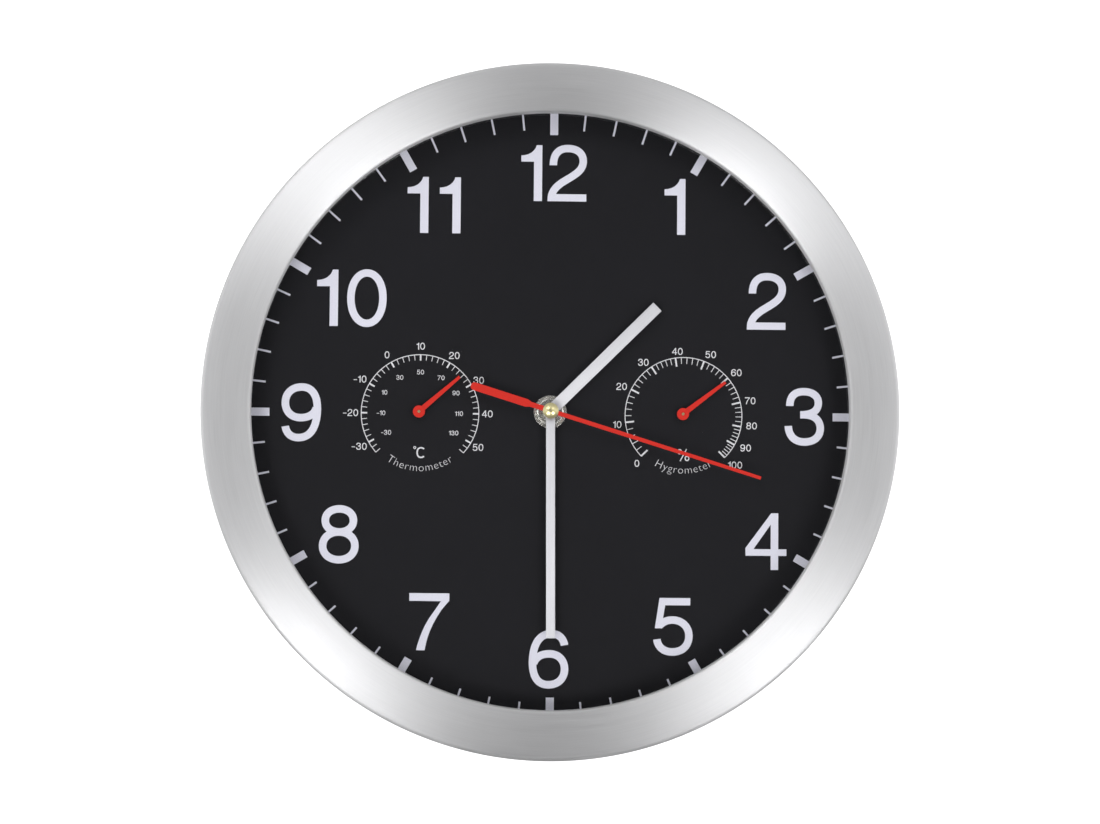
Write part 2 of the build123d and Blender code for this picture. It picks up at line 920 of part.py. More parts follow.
# Instruments: each has a vented cup behind the dial, a brass bush, and an arbor turned by a spiral strip
cup_back = dial_back - cup_height
cup_floor = cup_back + cup_wall
collet_back = cup_floor + cup_boss_height + pivot_play
spiral_back = collet_back + collet_margin
spiral_front = spiral_back + spiral_width
collet_front_depth = spiral_front + collet_margin
spiral_start = spiral_collet_radius + contact_gap + spiral_strip / 2
spiral_end = spiral_start + spiral_pitch * spiral_half_turns / 2
post_circle = spiral_end + spiral_strip / 2 + spiral_post_radius
arbor_front = dial_front + pointer_arbor_end


def instrument(name, place, reading):
    """The cup, bush, arbor, spiral and pointer of one instrument."""
    with BuildPart() as cup:
        tube(cup_radius, 0, cup_back, cup_floor, place)
        tube(cup_radius, cup_radius - cup_wall, cup_floor, dial_back, place)
        tube(cup_radius + cup_flange, cup_radius, dial_back - cup_wall, dial_back, place)
        tube(cup_boss_radius, 0, cup_floor, cup_floor + cup_boss_height, place)
        tube(spiral_post_radius, 0, cup_floor, spiral_front, (place[0] - post_circle, place[1]))
        running = pointer_arbor_radius + pointer_running_gap
        tube(running, 0, cup_back, cup_floor + cup_boss_height, place, Mode.SUBTRACT)
        with BuildSketch(front_plane(cup_back, *place)):
            with PolarLocations(cup_vent_circle, cup_vents, 180 / cup_vents):
                Circle(cup_vent_radius)
        extrude(amount=cup_wall, mode=Mode.SUBTRACT)
    finish(cup, f"{name}_cup")

    with BuildPart() as bush:
        tube(pointer_bush_flange, 0, dial_back - pointer_bush_lip, dial_back, place)
        tube(pointer_bush_radius, 0, dial_back, dial_front + pointer_bush_stand, place)
        bush_ends = (dial_back - pointer_bush_lip, dial_front + pointer_bush_stand)
        tube(running, 0, *bush_ends, place, Mode.SUBTRACT)
    finish(bush, f"{name}_bush")

    with BuildPart() as arbor:
        tube(pointer_arbor_radius, 0, cup_back, arbor_front, place)
        tube(spiral_collet_radius, pointer_arbor_radius, collet_back, collet_front_depth, place)
    finish(arbor, f"{name}_arbor")

    # Half turns about two centres in turn make an even spiral
    with BuildPart() as spiral:
        with BuildSketch(front_plane(spiral_back, *place)):
            with BuildLine():
                for n in range(spiral_half_turns):
                    side = 1 - 2 * (n % 2)
                    middle = side * spiral_pitch / 4
                    radius = spiral_start + spiral_pitch / 4 + n * spiral_pitch / 2
                    CenterArc((middle, 0), radius, 180 + 180 * (n % 2), 180)
            trace(line_width=spiral_strip)
        extrude(amount=spiral_width)
    finish(spiral, f"{name}_spiral")

    hub_back = dial_front + pointer_hub_lift
    blade_back = dial_front + pointer_blade_lift
    with BuildPart() as pointer:
        tube(pointer_hub_radius, 0, hub_back, hub_back + pointer_hub_height, place)
        with BuildSketch(front_plane(blade_back, *place, print_turn + reading)):
            with BuildLine():
                Polyline(
                    (-pointer_root_width / 2, 0),
                    (-pointer_tip_width / 2, pointer_length),
                    (pointer_tip_width / 2, pointer_length),
                    (pointer_root_width / 2, 0),
                    close=True,
                )
            make_face()
        extrude(amount=pointer_thickness)
        tube(pointer_arbor_radius, 0, hub_back, hub_back + pointer_hub_height, place, Mode.SUBTRACT)
    finish(pointer, f"{name}_pointer")


instrument("thermometer", instrument_places[0], thermometer_reading)
instrument("hygrometer", instrument_places[1], hygrometer_reading)

# Movement layers, counted from the back: motor, second, third, minute, motion and hour
layers = {}
for n, name in enumerate(("motor", "second", "third", "minute", "motion", "hour")):
    layers[name] = movement_inner_back + first_layer + n * layer_step

# Arbor places
second_place = (0, 0)
second_third_distance = going_module * (second_pinion_teeth + third_wheel_teeth) / 2
minute_module = 2 * second_third_distance / (third_pinion_teeth + minute_gear_teeth)
third_place = from_bearing(second_place, second_third_distance, third_bearing)
intermediate_distance = going_module * (intermediate_pinion_teeth + second_wheel_teeth) / 2
intermediate_place = from_bearing(second_place, intermediate_distance, intermediate_bearing)
rotor_distance = going_module * (rotor_teeth + intermediate_wheel_teeth) / 2
rotor_place = from_bearing(intermediate_place, rotor_distance, rotor_bearing)
motion_distance = motion_module * (minute_pinion_teeth + motion_wheel_teeth) / 2
hour_module = 2 * motion_distance / (motion_pinion_teeth + hour_wheel_teeth)
motion_place = from_bearing(second_place, motion_distance, motion_bearing)
set_distance = motion_module * (motion_wheel_teeth + set_gear_teeth) / 2
set_place = from_bearing(motion_place, set_distance, set_bearing)


def involute(angle):
    return tan(angle) - angle


def gear_outline(teeth, module, phase, steps):
    """Points round an involute gear with one tooth centred at the phase angle."""
    pressure = radians(pressure_angle)
    pitch_radius = module * teeth / 2
    base_radius = pitch_radius * cos(pressure)
    tip_radius = pitch_radius + addendum_share * module
    root_radius = pitch_radius - dedendum_share * module
    middle = pi / (2 * teeth) - flank_play / pitch_radius + involute(pressure)
    start = max(base_radius, root_radius)
    flank = []
    if root_radius < base_radius:
        flank.append((root_radius, middle))
    for n in range(steps + 1):
        radius = start + (tip_radius - start) * n / steps
        rolled = involute(acos(min(1, base_radius / radius)))
        flank.append((radius, middle - rolled))
    points = []
    for n in range(teeth):
        centre = radians(phase) + 2 * pi * n / teeth
        points += [(r * cos(centre - half), r * sin(centre - half)) for r, half in flank]
        points += [(r * cos(centre + half), r * sin(centre + half)) for r, half in reversed(flank)]
    return points


def gear(teeth, module, phase, back, front, place, steps=2):
    """A solid gear added to the open part."""
    with BuildSketch(front_plane(back, *place)) as profile:
        Polygon(*gear_outline(teeth, module, phase, steps))
    extrude(profile.sketch, amount=front - back)


def meshing_phase(teeth, phase, other_teeth, place, other_place):
    """The phase at which the other gear's gap meets this gear's tooth on the line of centres."""
    bearing = degrees(atan2(other_place[1] - place[1], other_place[0] - place[0]))
    tooth_share = (bearing - phase) * teeth / 360
    return bearing + 180 - (0.5 - tooth_share) * 360 / other_teeth


def wheel(teeth, module, phase, layer, place):
    """A thin wheel in its layer."""
    back = layers[layer]
    gear(teeth, module, phase, back, back + wheel_thickness, place)


def wheel_hub(layer, place):
    """A low hub on the front of a wheel."""
    back = layers[layer] + wheel_thickness
    tube(wheel_hub_radius, 0, back, back + wheel_hub_height, place)


def pinion(teeth, module, phase, layer, place):
    """A pinion a little wider than the wheel that it drives."""
    back = layers[layer] - pinion_overhang
    gear(teeth, module, phase, back, layers[layer] + wheel_thickness + pinion_overhang, place, steps=3)


def arbor_rod(radius, back, front, place):
    tube(radius, 0, back, front, place)


intermediate_phase = meshing_phase(
    rotor_teeth, 0, intermediate_wheel_teeth, rotor_place, intermediate_place
)
second_phase = meshing_phase(
    intermediate_pinion_teeth, 0, second_wheel_teeth, intermediate_place, second_place
)
third_phase = meshing_phase(second_pinion_teeth, 0, third_wheel_teeth, second_place, third_place)
minute_phase = meshing_phase(third_pinion_teeth, 0, minute_gear_teeth, third_place, second_place)
motion_phase = meshing_phase(minute_pinion_teeth, 0, motion_wheel_teeth, second_place, motion_place)
hour_phase = meshing_phase(motion_pinion_teeth, 0, hour_wheel_teeth, motion_place, second_place)
set_phase = meshing_phase(motion_wheel_teeth, motion_phase, set_gear_teeth, motion_place, set_place)

pivot_back = movement_inner_back + pivot_play
pivot_front = movement_inner_front + bearing_depth - pivot_play

# Rotor: a small magnet with its pinion on a thin arbor
magnet_middle = movement_inner_back + stator_lift + stator_thickness / 2
with BuildPart() as rotor:
    arbor_rod(arbor_radius, pivot_back, pivot_front, rotor_place)
    tube(
        rotor_magnet_radius,
        0,
        magnet_middle - rotor_magnet_height / 2,
        magnet_middle + rotor_magnet_height / 2,
        rotor_place,
    )
    pinion(rotor_teeth, going_module, 0, "motor", rotor_place)
finish(rotor, "rotor")

# Intermediate wheel: driven by the rotor, it drives the second wheel
with BuildPart() as intermediate_wheel:
    arbor_rod(arbor_radius, pivot_back, pivot_front, intermediate_place)
    wheel(intermediate_wheel_teeth, going_module, intermediate_phase, "motor", intermediate_place)
    wheel_hub("motor", intermediate_place)
    pinion(intermediate_pinion_teeth, going_module, 0, "second", intermediate_place)
finish(intermediate_wheel, "intermediate_wheel")

# Second wheel: one turn a minute, on the long steel arbor that carries the second hand
second_hand_back = dial_front + second_hand_lift
with BuildPart() as second_wheel:
    arbor_rod(second_arbor_radius, pivot_back, second_hand_back, second_place)
    wheel(second_wheel_teeth, going_module, second_phase, "second", second_place)
    wheel_hub("second", second_place)
    pinion(second_pinion_teeth, going_module, 0, "third", second_place)
finish(second_wheel, "second_wheel")

# Third wheel: steps the speed down to the minute gear
with BuildPart() as third_wheel:
    arbor_rod(arbor_radius, pivot_back, pivot_front, third_place)
    wheel(third_wheel_teeth, going_module, third_phase, "third", third_place)
    wheel_hub("third", third_place)
    pinion(third_pinion_teeth, minute_module, 0, "minute", third_place)
finish(third_wheel, "third_wheel")

# Minute gear: grips the minute pipe by friction, so that the hands can be set
with BuildPart() as minute_gear:
    wheel(minute_gear_teeth, minute_module, minute_phase, "minute", second_place)
    seat = (minute_pipe_seat + pipe_gap, 0, layers["minute"], layers["minute"] + wheel_thickness)
    tube(*seat, second_place, Mode.SUBTRACT)
finish(minute_gear, "minute_gear")

# Minute pipe: collar, seat for the minute gear, pinion and the long pipe for the minute hand
pipe_back = layers["minute"] - pipe_gap - minute_pipe_collar_height
pipe_seat_back = layers["minute"] - pipe_gap
pipe_seat_front = layers["motion"] - pinion_overhang
minute_hand_back = dial_front + minute_hand_lift
minute_pipe_front = minute_hand_back + hand_thickness + collet_front
with BuildPart() as minute_pipe:
    tube(minute_pipe_collar, 0, pipe_back, pipe_seat_back)
    tube(minute_pipe_seat, 0, pipe_seat_back, pipe_seat_front)
    pinion(minute_pinion_teeth, motion_module, 0, "motion", second_place)
    pinion_front = layers["motion"] + wheel_thickness + pinion_overhang
    tube(minute_pipe_radius, 0, pinion_front, minute_pipe_front)
    tube(second_arbor_radius + pipe_gap, 0, pipe_back, minute_pipe_front, second_place, Mode.SUBTRACT)
finish(minute_pipe, "minute_pipe")

# Motion wheel: turns on a stud of the front case and gives the hour wheel a twelfth of the pipe's speed
motion_back = layers["motion"]
motion_front = layers["hour"] + wheel_thickness + pinion_overhang
with BuildPart() as motion_wheel:
    wheel(motion_wheel_teeth, motion_module, motion_phase, "motion", motion_place)
    sleeve_front = layers["hour"] - pinion_overhang
    tube(motion_sleeve_radius, 0, motion_back + wheel_thickness, sleeve_front, motion_place)
    pinion(motion_pinion_teeth, hour_module, 0, "hour", motion_place)
    tube(motion_stud_radius + pivot_gap, 0, motion_back, motion_front, motion_place, Mode.SUBTRACT)
finish(motion_wheel, "motion_wheel")

# Hour wheel: its pipe turns inside the threaded bush and carries the hour hand
hour_hand_back = dial_front + hour_hand_lift
hour_pipe_front = hour_hand_back + hand_thickness + collet_front
with BuildPart() as hour_wheel:
    wheel(hour_wheel_teeth, hour_module, hour_phase, "hour", second_place)
    tube(hour_pipe_radius, 0, layers["hour"] + wheel_thickness, hour_pipe_front)
    tube(hour_pipe_bore, 0, layers["hour"], hour_pipe_front, second_place, Mode.SUBTRACT)
finish(hour_wheel, "hour_wheel")

# Set knob: scalloped, sunk in a well of the rear case, with its gear in the motion layer
knob_back = movement_back + knob_back_gap
knob_front = knob_back + knob_height
well_floor_back = knob_front + knob_floor_gap
well_floor_front = well_floor_back + movement_wall
with BuildPart() as set_knob:
    tube(knob_radius, 0, knob_back, knob_front, set_place)
    with BuildSketch(front_plane(knob_back, *set_place)):
        with PolarLocations(knob_radius, knob_scallops):
            Circle(knob_scallop_radius)
    extrude(amount=knob_height, mode=Mode.SUBTRACT)
    tube(knob_shaft_radius, 0, knob_front, layers["motion"], set_place)
    gear(
        set_gear_teeth,
        motion_module,
        set_phase,
        layers["motion"],
        layers["motion"] + wheel_thickness,
        set_place,
    )
    arbor_rod(arbor_radius, layers["motion"] + wheel_thickness, pivot_front, set_place)
finish(set_knob, "set_knob")

# Battery: one AA cell lying across the bottom of the movement
battery_z = -half_side + movement_wall + battery_side_gap + battery_radius
battery_depth = movement_back + battery_back_gap + battery_radius
nub_tip = inner_half - contact_sheet - contact_gap
battery_right = nub_tip - battery_nub
battery_left = battery_right - battery_length
bay_top = battery_z + battery_radius + battery_side_gap
divider_top = bay_top + divider_wall


def side_plane(x, depth, z):
    """A plane that faces +X, at this place."""
    return Plane(origin=(x, -depth, z), x_dir=(0, 1, 0), z_dir=(1, 0, 0))


with BuildPart() as battery:
    with BuildSketch(side_plane(battery_left, battery_depth, battery_z)):
        Circle(battery_radius)
    extrude(amount=battery_length)
    fillet(battery.edges().filter_by(GeomType.CIRCLE), battery_corner)
    with BuildSketch(side_plane(battery_right, battery_depth, battery_z)):
        Circle(battery_nub_radius)
    extrude(amount=battery_nub)
finish(battery, "battery")

# Rear case: a tub with the gear space above and the open battery bay below
stator_back = movement_inner_back + stator_lift
stator_front = stator_back + stator_thickness
core_front = stator_front + stator_thickness
core_ends = (coil_centre - core_half_length, coil_centre + core_half_length)
post_places = [(core_ends[0] + core_width / 2, coil_height), (core_ends[1] - core_width / 2, coil_height)]
lead_back = movement_inner_back + contact_lead_lift
lead_front = lead_back + contact_lead
case_bearings = (rotor_place, intermediate_place, third_place)
with BuildPart() as movement_rear_case:
    with BuildSketch(front_plane(movement_back)):
        RectangleRounded(movement_side, movement_side, movement_corner)
    extrude(amount=movement_inner_front - movement_back)
    room_depths = (movement_inner_back, movement_inner_front)
    box(-inner_half, inner_half, divider_top, inner_half, *room_depths, Mode.SUBTRACT)
    bay_depths = (movement_back, movement_inner_front)
    box(-inner_half, inner_half, -inner_half, bay_top, *bay_depths, Mode.SUBTRACT)
    well_radius = knob_radius + knob_well_gap
    tube(well_radius + knob_well_wall, 0, movement_inner_back, well_floor_front, set_place)
    tube(well_radius, 0, movement_back, well_floor_back, set_place, Mode.SUBTRACT)
    knob_hole = knob_shaft_radius + knob_shaft_gap
    tube(knob_hole, 0, well_floor_back, well_floor_front, set_place, Mode.SUBTRACT)
    for place in (*case_bearings, second_place):
        tube(bearing_boss_radius, 0, movement_inner_back, movement_inner_back + bearing_boss_height, place)
    boss_top = movement_inner_back + bearing_boss_height
    for place in case_bearings:
        tube(arbor_radius + pivot_gap, 0, movement_inner_back, boss_top, place, Mode.SUBTRACT)
    tube(second_arbor_radius + pivot_gap, 0, movement_inner_back, boss_top, second_place, Mode.SUBTRACT)
    for place in post_places:
        tube(post_radius, 0, movement_inner_back, stator_back, place)
        tube(post_pin_radius, 0, stator_back, core_front + post_pin_spare, place)
    # Slots in the divider for the two contact leads
    for side in (-1, 1):
        lead_sides = sorted((side * inner_half, side * (inner_half - 2 * contact_sheet)))
        lead_depths = (lead_back - contact_gap, lead_front + contact_gap)
        box(*lead_sides, bay_top, divider_top, *lead_depths, Mode.SUBTRACT)
finish(movement_rear_case, "movement_rear_case")

# Front case: a plate with a locating lip, bearings, and the stud for the motion wheel
lip_outer = inner_half - case_lip_gap
lip_back = movement_inner_front - case_lip_height
with BuildPart() as movement_front_case:
    with BuildSketch(front_plane(movement_inner_front)):
        RectangleRounded(movement_side, movement_side, movement_corner)
    extrude(amount=movement_wall)
    lip_bottom = divider_top + case_lip_gap
    box(-lip_outer, lip_outer, lip_bottom, lip_outer, lip_back, movement_inner_front)
    lip_inner = lip_outer - case_lip
    lip_inner_bottom = lip_bottom + case_lip
    box(-lip_inner, lip_inner, lip_inner_bottom, lip_inner, lip_back, movement_inner_front, Mode.SUBTRACT)
    tube(motion_stud_radius, 0, motion_back - motion_stud_end, movement_inner_front, motion_place)
    pivot_hole_front = movement_inner_front + bearing_depth
    for place in (*case_bearings, set_place):
        tube(arbor_radius + pivot_gap, 0, movement_inner_front, pivot_hole_front, place, Mode.SUBTRACT)
    tube(bush_radius, 0, movement_inner_front, movement_front, second_place, Mode.SUBTRACT)
finish(movement_front_case, "movement_front_case")

# Centre fixing: threaded bush, rubber washer behind the dial, steel washer and hexagon nut in front of it
bush_front = dial_front + bush_end_above_dial
nut_back = dial_front + dial_washer_thickness
nut_front = nut_back + nut_height
with BuildPart() as threaded_bush:
    tube(bush_radius, hour_pipe_radius + bush_bore_gap, movement_inner_front, bush_front)
finish(threaded_bush, "threaded_bush")

with BuildPart() as rubber_washer:
    tube(washer_radius, bush_radius, movement_front, dial_back)
finish(rubber_washer, "rubber_washer")

with BuildPart() as dial_washer:
    tube(dial_washer_radius, bush_radius, dial_front, nut_back)
finish(dial_washer, "dial_washer")

with BuildPart() as hand_nut:
    with BuildSketch(front_plane(nut_back)):
        RegularPolygon(nut_flats / 2, 6, major_radius=False)
        Circle(bush_radius, mode=Mode.SUBTRACT)
    extrude(amount=nut_height)
    # The front corners are turned down to a cone
    nut_corner = nut_flats / (2 * cos(radians(30)))
    past_corner = 2 * nut_corner - nut_flats / 2
    with BuildSketch(section_plane()):
        Polygon(
            (nut_flats / 2, nut_front), (past_corner, nut_front), (past_corner, nut_front - 2 * nut_chamfer)
        )
    revolve(axis=y_axis(), mode=Mode.SUBTRACT)
finish(hand_nut, "hand_nut")

# Motor: stator plate round the rotor, with arms to a laminated core that runs through the coil
with BuildPart() as stator:
    with BuildSketch(front_plane(stator_back)):
        with Locations(rotor_place):
            Circle(stator_radius)
        arm_z = (rotor_place[1], rotor_place[1] + stator_arm)
        arm_left = core_ends[0]
        with Locations(((arm_left + rotor_place[0]) / 2, sum(arm_z) / 2)):
            Rectangle(rotor_place[0] - arm_left, stator_arm)
        foot_height = coil_height + core_width - arm_z[0]
        for left in (core_ends[0], core_ends[1] - stator_foot):
            with Locations((left + stator_foot / 2, arm_z[0] + foot_height / 2)):
                Rectangle(stator_foot, foot_height)
        with Locations(rotor_place):
            Circle(rotor_magnet_radius + stator_gap, mode=Mode.SUBTRACT)
        with Locations(*post_places):
            Circle(post_pin_radius, mode=Mode.SUBTRACT)
    extrude(amount=stator_thickness)
finish(stator, "stator")

with BuildPart() as coil_core:
    with BuildSketch(front_plane(stator_front)):
        with Locations((coil_centre, coil_height)):
            Rectangle(2 * core_half_length, core_width)
        with Locations(*post_places):
            Circle(post_pin_radius, mode=Mode.SUBTRACT)
    extrude(amount=stator_thickness)
finish(coil_core, "coil_core")

core_depth = stator_front + stator_thickness / 2
coil_left = coil_centre - coil_length / 2
with BuildPart() as coil_bobbin:
    with BuildSketch(side_plane(coil_left, core_depth, coil_height)):
        Circle(coil_tube_radius)
    extrude(amount=coil_length)
    for left in (coil_left, coil_left + coil_length - coil_flange):
        with BuildSketch(side_plane(left, core_depth, coil_height)):
            Circle(coil_flange_radius)
        extrude(amount=coil_flange)
    with BuildSketch(side_plane(coil_left, core_depth, coil_height)):
        Rectangle(stator_thickness, core_width)
    extrude(amount=coil_length, mode=Mode.SUBTRACT)
finish(coil_bobbin, "coil_bobbin")

with BuildPart() as coil_winding:
    with BuildSketch(side_plane(coil_left + coil_flange, core_depth, coil_height)):
        Circle(coil_winding_radius)
        Circle(coil_tube_radius, mode=Mode.SUBTRACT)
    extrude(amount=coil_length - 2 * coil_flange)
finish(coil_winding, "coil_winding")

# Circuit board with its chip, and the quartz crystal's can lying on it
board_left = -inner_half + board_left_gap
board_right = board_left + board_width
board_front = movement_inner_back + board_thickness
board_top = board_base + board_height
chip_x = (board_left + board_right) / 2
chip_z = board_top - chip_side
with BuildPart() as circuit_board:
    box(board_left, board_right, board_base, board_top, movement_inner_back, board_front)
    half_chip = chip_side / 2
    chip_x_range = (chip_x - half_chip, chip_x + half_chip)
    chip_z_range = (chip_z - half_chip, chip_z + half_chip)
    box(*chip_x_range, *chip_z_range, board_front, board_front + chip_height)
finish(circuit_board, "circuit_board")

with BuildPart() as quartz_crystal:
    crystal_plane = Plane(
        origin=(chip_x, -board_front - crystal_radius, board_base + board_thickness),
        x_dir=(1, 0, 0),
        z_dir=(0, 0, 1),
    )
    with BuildSketch(crystal_plane):
        Circle(crystal_radius)
    extrude(amount=crystal_length)
finish(quartz_crystal, "quartz_crystal")

# Contacts: a leaf at the positive end and a leaf with a spring at the other, each with a lead to the board
leaf_bottom = battery_z - contact_width / 2
leaf_top = battery_z + contact_width / 2
leaf_back = battery_depth - contact_width / 2
leaf_front = battery_depth + contact_width / 2
lead_floor = divider_top + contact_gap
lead_turn = board_right - contact_lead
with BuildPart() as contact_positive:
    leaf_x = inner_half - contact_sheet
    box(leaf_x, inner_half, leaf_bottom, leaf_top, leaf_back, leaf_front)
    box(leaf_x, inner_half, leaf_top, lead_floor + contact_sheet, lead_back, lead_front)
    box(lead_turn, inner_half, lead_floor, lead_floor + contact_sheet, lead_back, lead_front)
    lead_top = board_base + contact_lead
    box(lead_turn, lead_turn + contact_sheet, lead_floor, lead_top, lead_back, lead_front)
    box(lead_turn, lead_turn + contact_sheet, board_base, lead_top, board_front, lead_front)
finish(contact_positive, "contact_positive")

spring_left = -inner_half + contact_sheet + contact_spring_wire / 2
spring_height = battery_left - contact_gap - contact_spring_wire - spring_left
with BuildPart() as contact_negative:
    leaf_x = -inner_half
    box(leaf_x, leaf_x + contact_sheet, leaf_bottom, leaf_top, leaf_back, leaf_front)
    lead_top = board_base + contact_lead
    box(leaf_x, leaf_x + contact_sheet, leaf_top, lead_top, lead_back, lead_front)
    box(leaf_x, board_left + contact_lead, board_base, lead_top, board_front, board_front + contact_sheet)
    box(leaf_x, leaf_x + contact_sheet, board_base, lead_top, board_front, lead_front)
    cone = degrees(atan2(contact_spring_inner - contact_spring_outer, spring_height))
    with BuildLine(side_plane(spring_left, battery_depth, battery_z)) as spring_line:
        Helix(
            spring_height / contact_spring_turns,
            spring_height,
            contact_spring_outer,
            direction=(1, 0, 0),
            cone_angle=cone,
        )
    with BuildSketch(Plane(spring_line.line @ 0, z_dir=spring_line.line % 0)):
        Circle(contact_spring_wire)
    sweep(path=spring_line.line, is_frenet=True)
finish(contact_negative, "contact_negative")


def hand_outline(*sides):
    """A hand's outline, from half widths at distances along it."""
    left = [(-half, along) for half, along in sides]
    right = [(half, along) for half, along in reversed(sides)]
    Polygon(*left, *right)


# Hour and minute hands: flat aluminium batons on short collets
with BuildPart() as hour_hand:
    hour_hand_front = hour_hand_back + hand_thickness
    tube(hour_hand_hub, 0, hour_hand_front - collet_height, hour_hand_front)
    with BuildSketch(front_plane(hour_hand_back, turn=hour_hand_angle)):
        hand_outline((hour_hand_root / 2, 0), (hour_hand_tip / 2, hour_hand_length))
    extrude(amount=hand_thickness)
    tube(hour_pipe_radius, 0, dial_front, hour_pipe_front, second_place, Mode.SUBTRACT)
finish(hour_hand, "hour_hand")

with BuildPart() as minute_hand:
    minute_hand_front = minute_hand_back + hand_thickness
    tube(minute_hand_hub, 0, minute_hand_front - collet_height, minute_hand_front)
    with BuildSketch(front_plane(minute_hand_back, turn=minute_hand_angle)):
        hand_outline((minute_hand_width / 2, 0), (minute_hand_width / 2, minute_hand_length))
    extrude(amount=hand_thickness)
    tube(minute_pipe_radius, 0, dial_front, minute_pipe_front, second_place, Mode.SUBTRACT)
finish(minute_hand, "minute_hand")

# Second hand: a thin red needle with a wide tail past a narrow neck
second_hand_front = second_hand_back + second_hand_thickness
with BuildPart() as second_hand:
    tube(second_tube_radius, 0, second_hand_back - second_tube_height, second_hand_back)
    tube(second_hand_hub, 0, second_hand_back, second_hand_front)
    shoulder = second_neck_length + second_neck_shoulder
    with BuildSketch(front_plane(second_hand_back, turn=second_hand_angle)):
        hand_outline(
            (second_tail_width / 2, -second_tail_length + second_tail_width / 2),
            (second_tail_width / 2, -shoulder),
            (second_neck_width / 2, -second_neck_length),
            (second_neck_width / 2, 0),
            (second_hand_root / 2, 0),
            (second_hand_tip / 2, second_hand_length),
        )
        with Locations((0, -second_tail_length + second_tail_width / 2)):
            Circle(second_tail_width / 2)
    extrude(amount=second_hand_thickness)
    tube_depths = (second_hand_back - second_tube_height, second_hand_back)
    tube(second_arbor_radius, 0, *tube_depths, second_place, Mode.SUBTRACT)
finish(second_hand, "second_hand")

# Cap: a brass dome over the second hand's hub
cap_front = second_hand_front + cap_height
with BuildPart() as second_cap:
    with BuildSketch(section_plane()):
        with BuildLine():
            rise = Polyline(
                (0, cap_front),
                (0, second_hand_front),
                (cap_radius, second_hand_front),
                (cap_radius, second_hand_front + cap_edge),
            )
            dome_radius = (cap_radius**2 + (cap_height - cap_edge) ** 2) / (2 * (cap_height - cap_edge))
            RadiusArc(rise @ 1, rise @ 0, -dome_radius)
        make_face()
    revolve(axis=y_axis())
finish(second_cap, "second_cap")
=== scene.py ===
from math import cos, pi, radians, sin

import bmesh
import bpy
from mathutils import Matrix, Vector


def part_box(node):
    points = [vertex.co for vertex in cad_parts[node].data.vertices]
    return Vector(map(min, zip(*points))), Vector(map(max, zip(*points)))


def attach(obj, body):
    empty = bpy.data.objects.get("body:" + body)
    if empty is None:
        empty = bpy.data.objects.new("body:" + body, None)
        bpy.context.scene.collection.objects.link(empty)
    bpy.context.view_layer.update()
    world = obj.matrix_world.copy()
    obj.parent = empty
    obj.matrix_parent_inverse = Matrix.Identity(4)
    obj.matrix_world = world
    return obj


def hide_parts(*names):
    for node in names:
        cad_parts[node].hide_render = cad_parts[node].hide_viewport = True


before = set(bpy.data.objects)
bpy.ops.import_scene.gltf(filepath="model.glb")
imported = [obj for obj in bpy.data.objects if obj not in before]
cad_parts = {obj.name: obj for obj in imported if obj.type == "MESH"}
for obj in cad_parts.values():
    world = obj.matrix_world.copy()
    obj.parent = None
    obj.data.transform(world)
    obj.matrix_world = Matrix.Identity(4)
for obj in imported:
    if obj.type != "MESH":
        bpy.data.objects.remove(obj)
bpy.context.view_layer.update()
mm = 0.001

# Camera: a long lens a little to the left of the clock's axis and a little below it, as the photograph
# was taken. It aims at the middle of the case.
image_width_px = 1100
focal_length_px = 2758.9
sensor_width_mm = 36.0
camera_distance = 1.2
camera_left = radians(2.0)
camera_below = radians(3.6)
camera_aim = Vector((0, -20 * mm, 0))
camera_data = bpy.data.cameras.new("camera")
camera_data.sensor_width = sensor_width_mm
camera_data.lens = sensor_width_mm * focal_length_px / image_width_px
camera = bpy.data.objects.new("camera", camera_data)
camera_way = Vector(
    (-sin(camera_left) * cos(camera_below), -cos(camera_left) * cos(camera_below), -sin(camera_below))
)
camera.location = camera_aim + camera_distance * camera_way
camera.rotation_euler = (-camera_way).to_track_quat("-Z", "Y").to_euler()
bpy.context.collection.objects.link(camera)
bpy.context.scene.camera = camera

# Rim: a ring spun from 1 mm aluminium sheet, gently crowned in front, hemmed at the back and turned in
# to the glass. It is brushed round and round.
rim_low, rim_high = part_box("rim")
rim_radius = rim_high.x
rim_front = -rim_low.y
rim_back = -rim_high.y
rim_width = 21.5 * mm
rim_sheet = 1.0 * mm
rim_crown = 1.1 * mm
rim_hem = 5.0 * mm
rim_lip = 5.5 * mm
rim_outer_corner = 2.6 * mm
rim_inner_corner = 1.8 * mm
rim_back_corner = 1.6 * mm
rim_crown_steps = 12
rim_turn_steps = 360
rounding_steps = 6
weld_gap = 1e-7
brush_line = 0.35 * mm
brush_fade_share = 0.012
brush_depth = 0.02 * mm


def linear(hex_colour):
    """A linear colour from an sRGB hex value."""
    shares = [int(hex_colour[n : n + 2], 16) / 255 for n in (1, 3, 5)]
    return tuple(s / 12.92 if s <= 0.04045 else ((s + 0.055) / 1.055) ** 2.4 for s in shares) + (1.0,)


def add_node(tree, kind, settings=None, links=None):
    """Adds a node. A setting's key is an attribute, or an input by name or number; a link's is an input."""
    node = tree.nodes.new(kind)
    for key, value in (settings or {}).items():
        if isinstance(key, int) or key in node.inputs:
            node.inputs[key].default_value = value
        else:
            setattr(node, key, value)
    for key, source in (links or {}).items():
        tree.links.new(source, node.inputs[key])
    return node


def new_material(name, colour, metallic, roughness, **sockets):
    """A material whose even values stand on its shader's own sockets."""
    material = bpy.data.materials.new(name)
    material.use_nodes = True
    shader = material.node_tree.nodes["Principled BSDF"]
    shader.inputs["Base Color"].default_value = linear(colour)
    shader.inputs["Metallic"].default_value = metallic
    shader.inputs["Roughness"].default_value = roughness
    for name, value in sockets.items():
        shader.inputs[name.replace("_", " ")].default_value = value
    return material, material.node_tree, shader


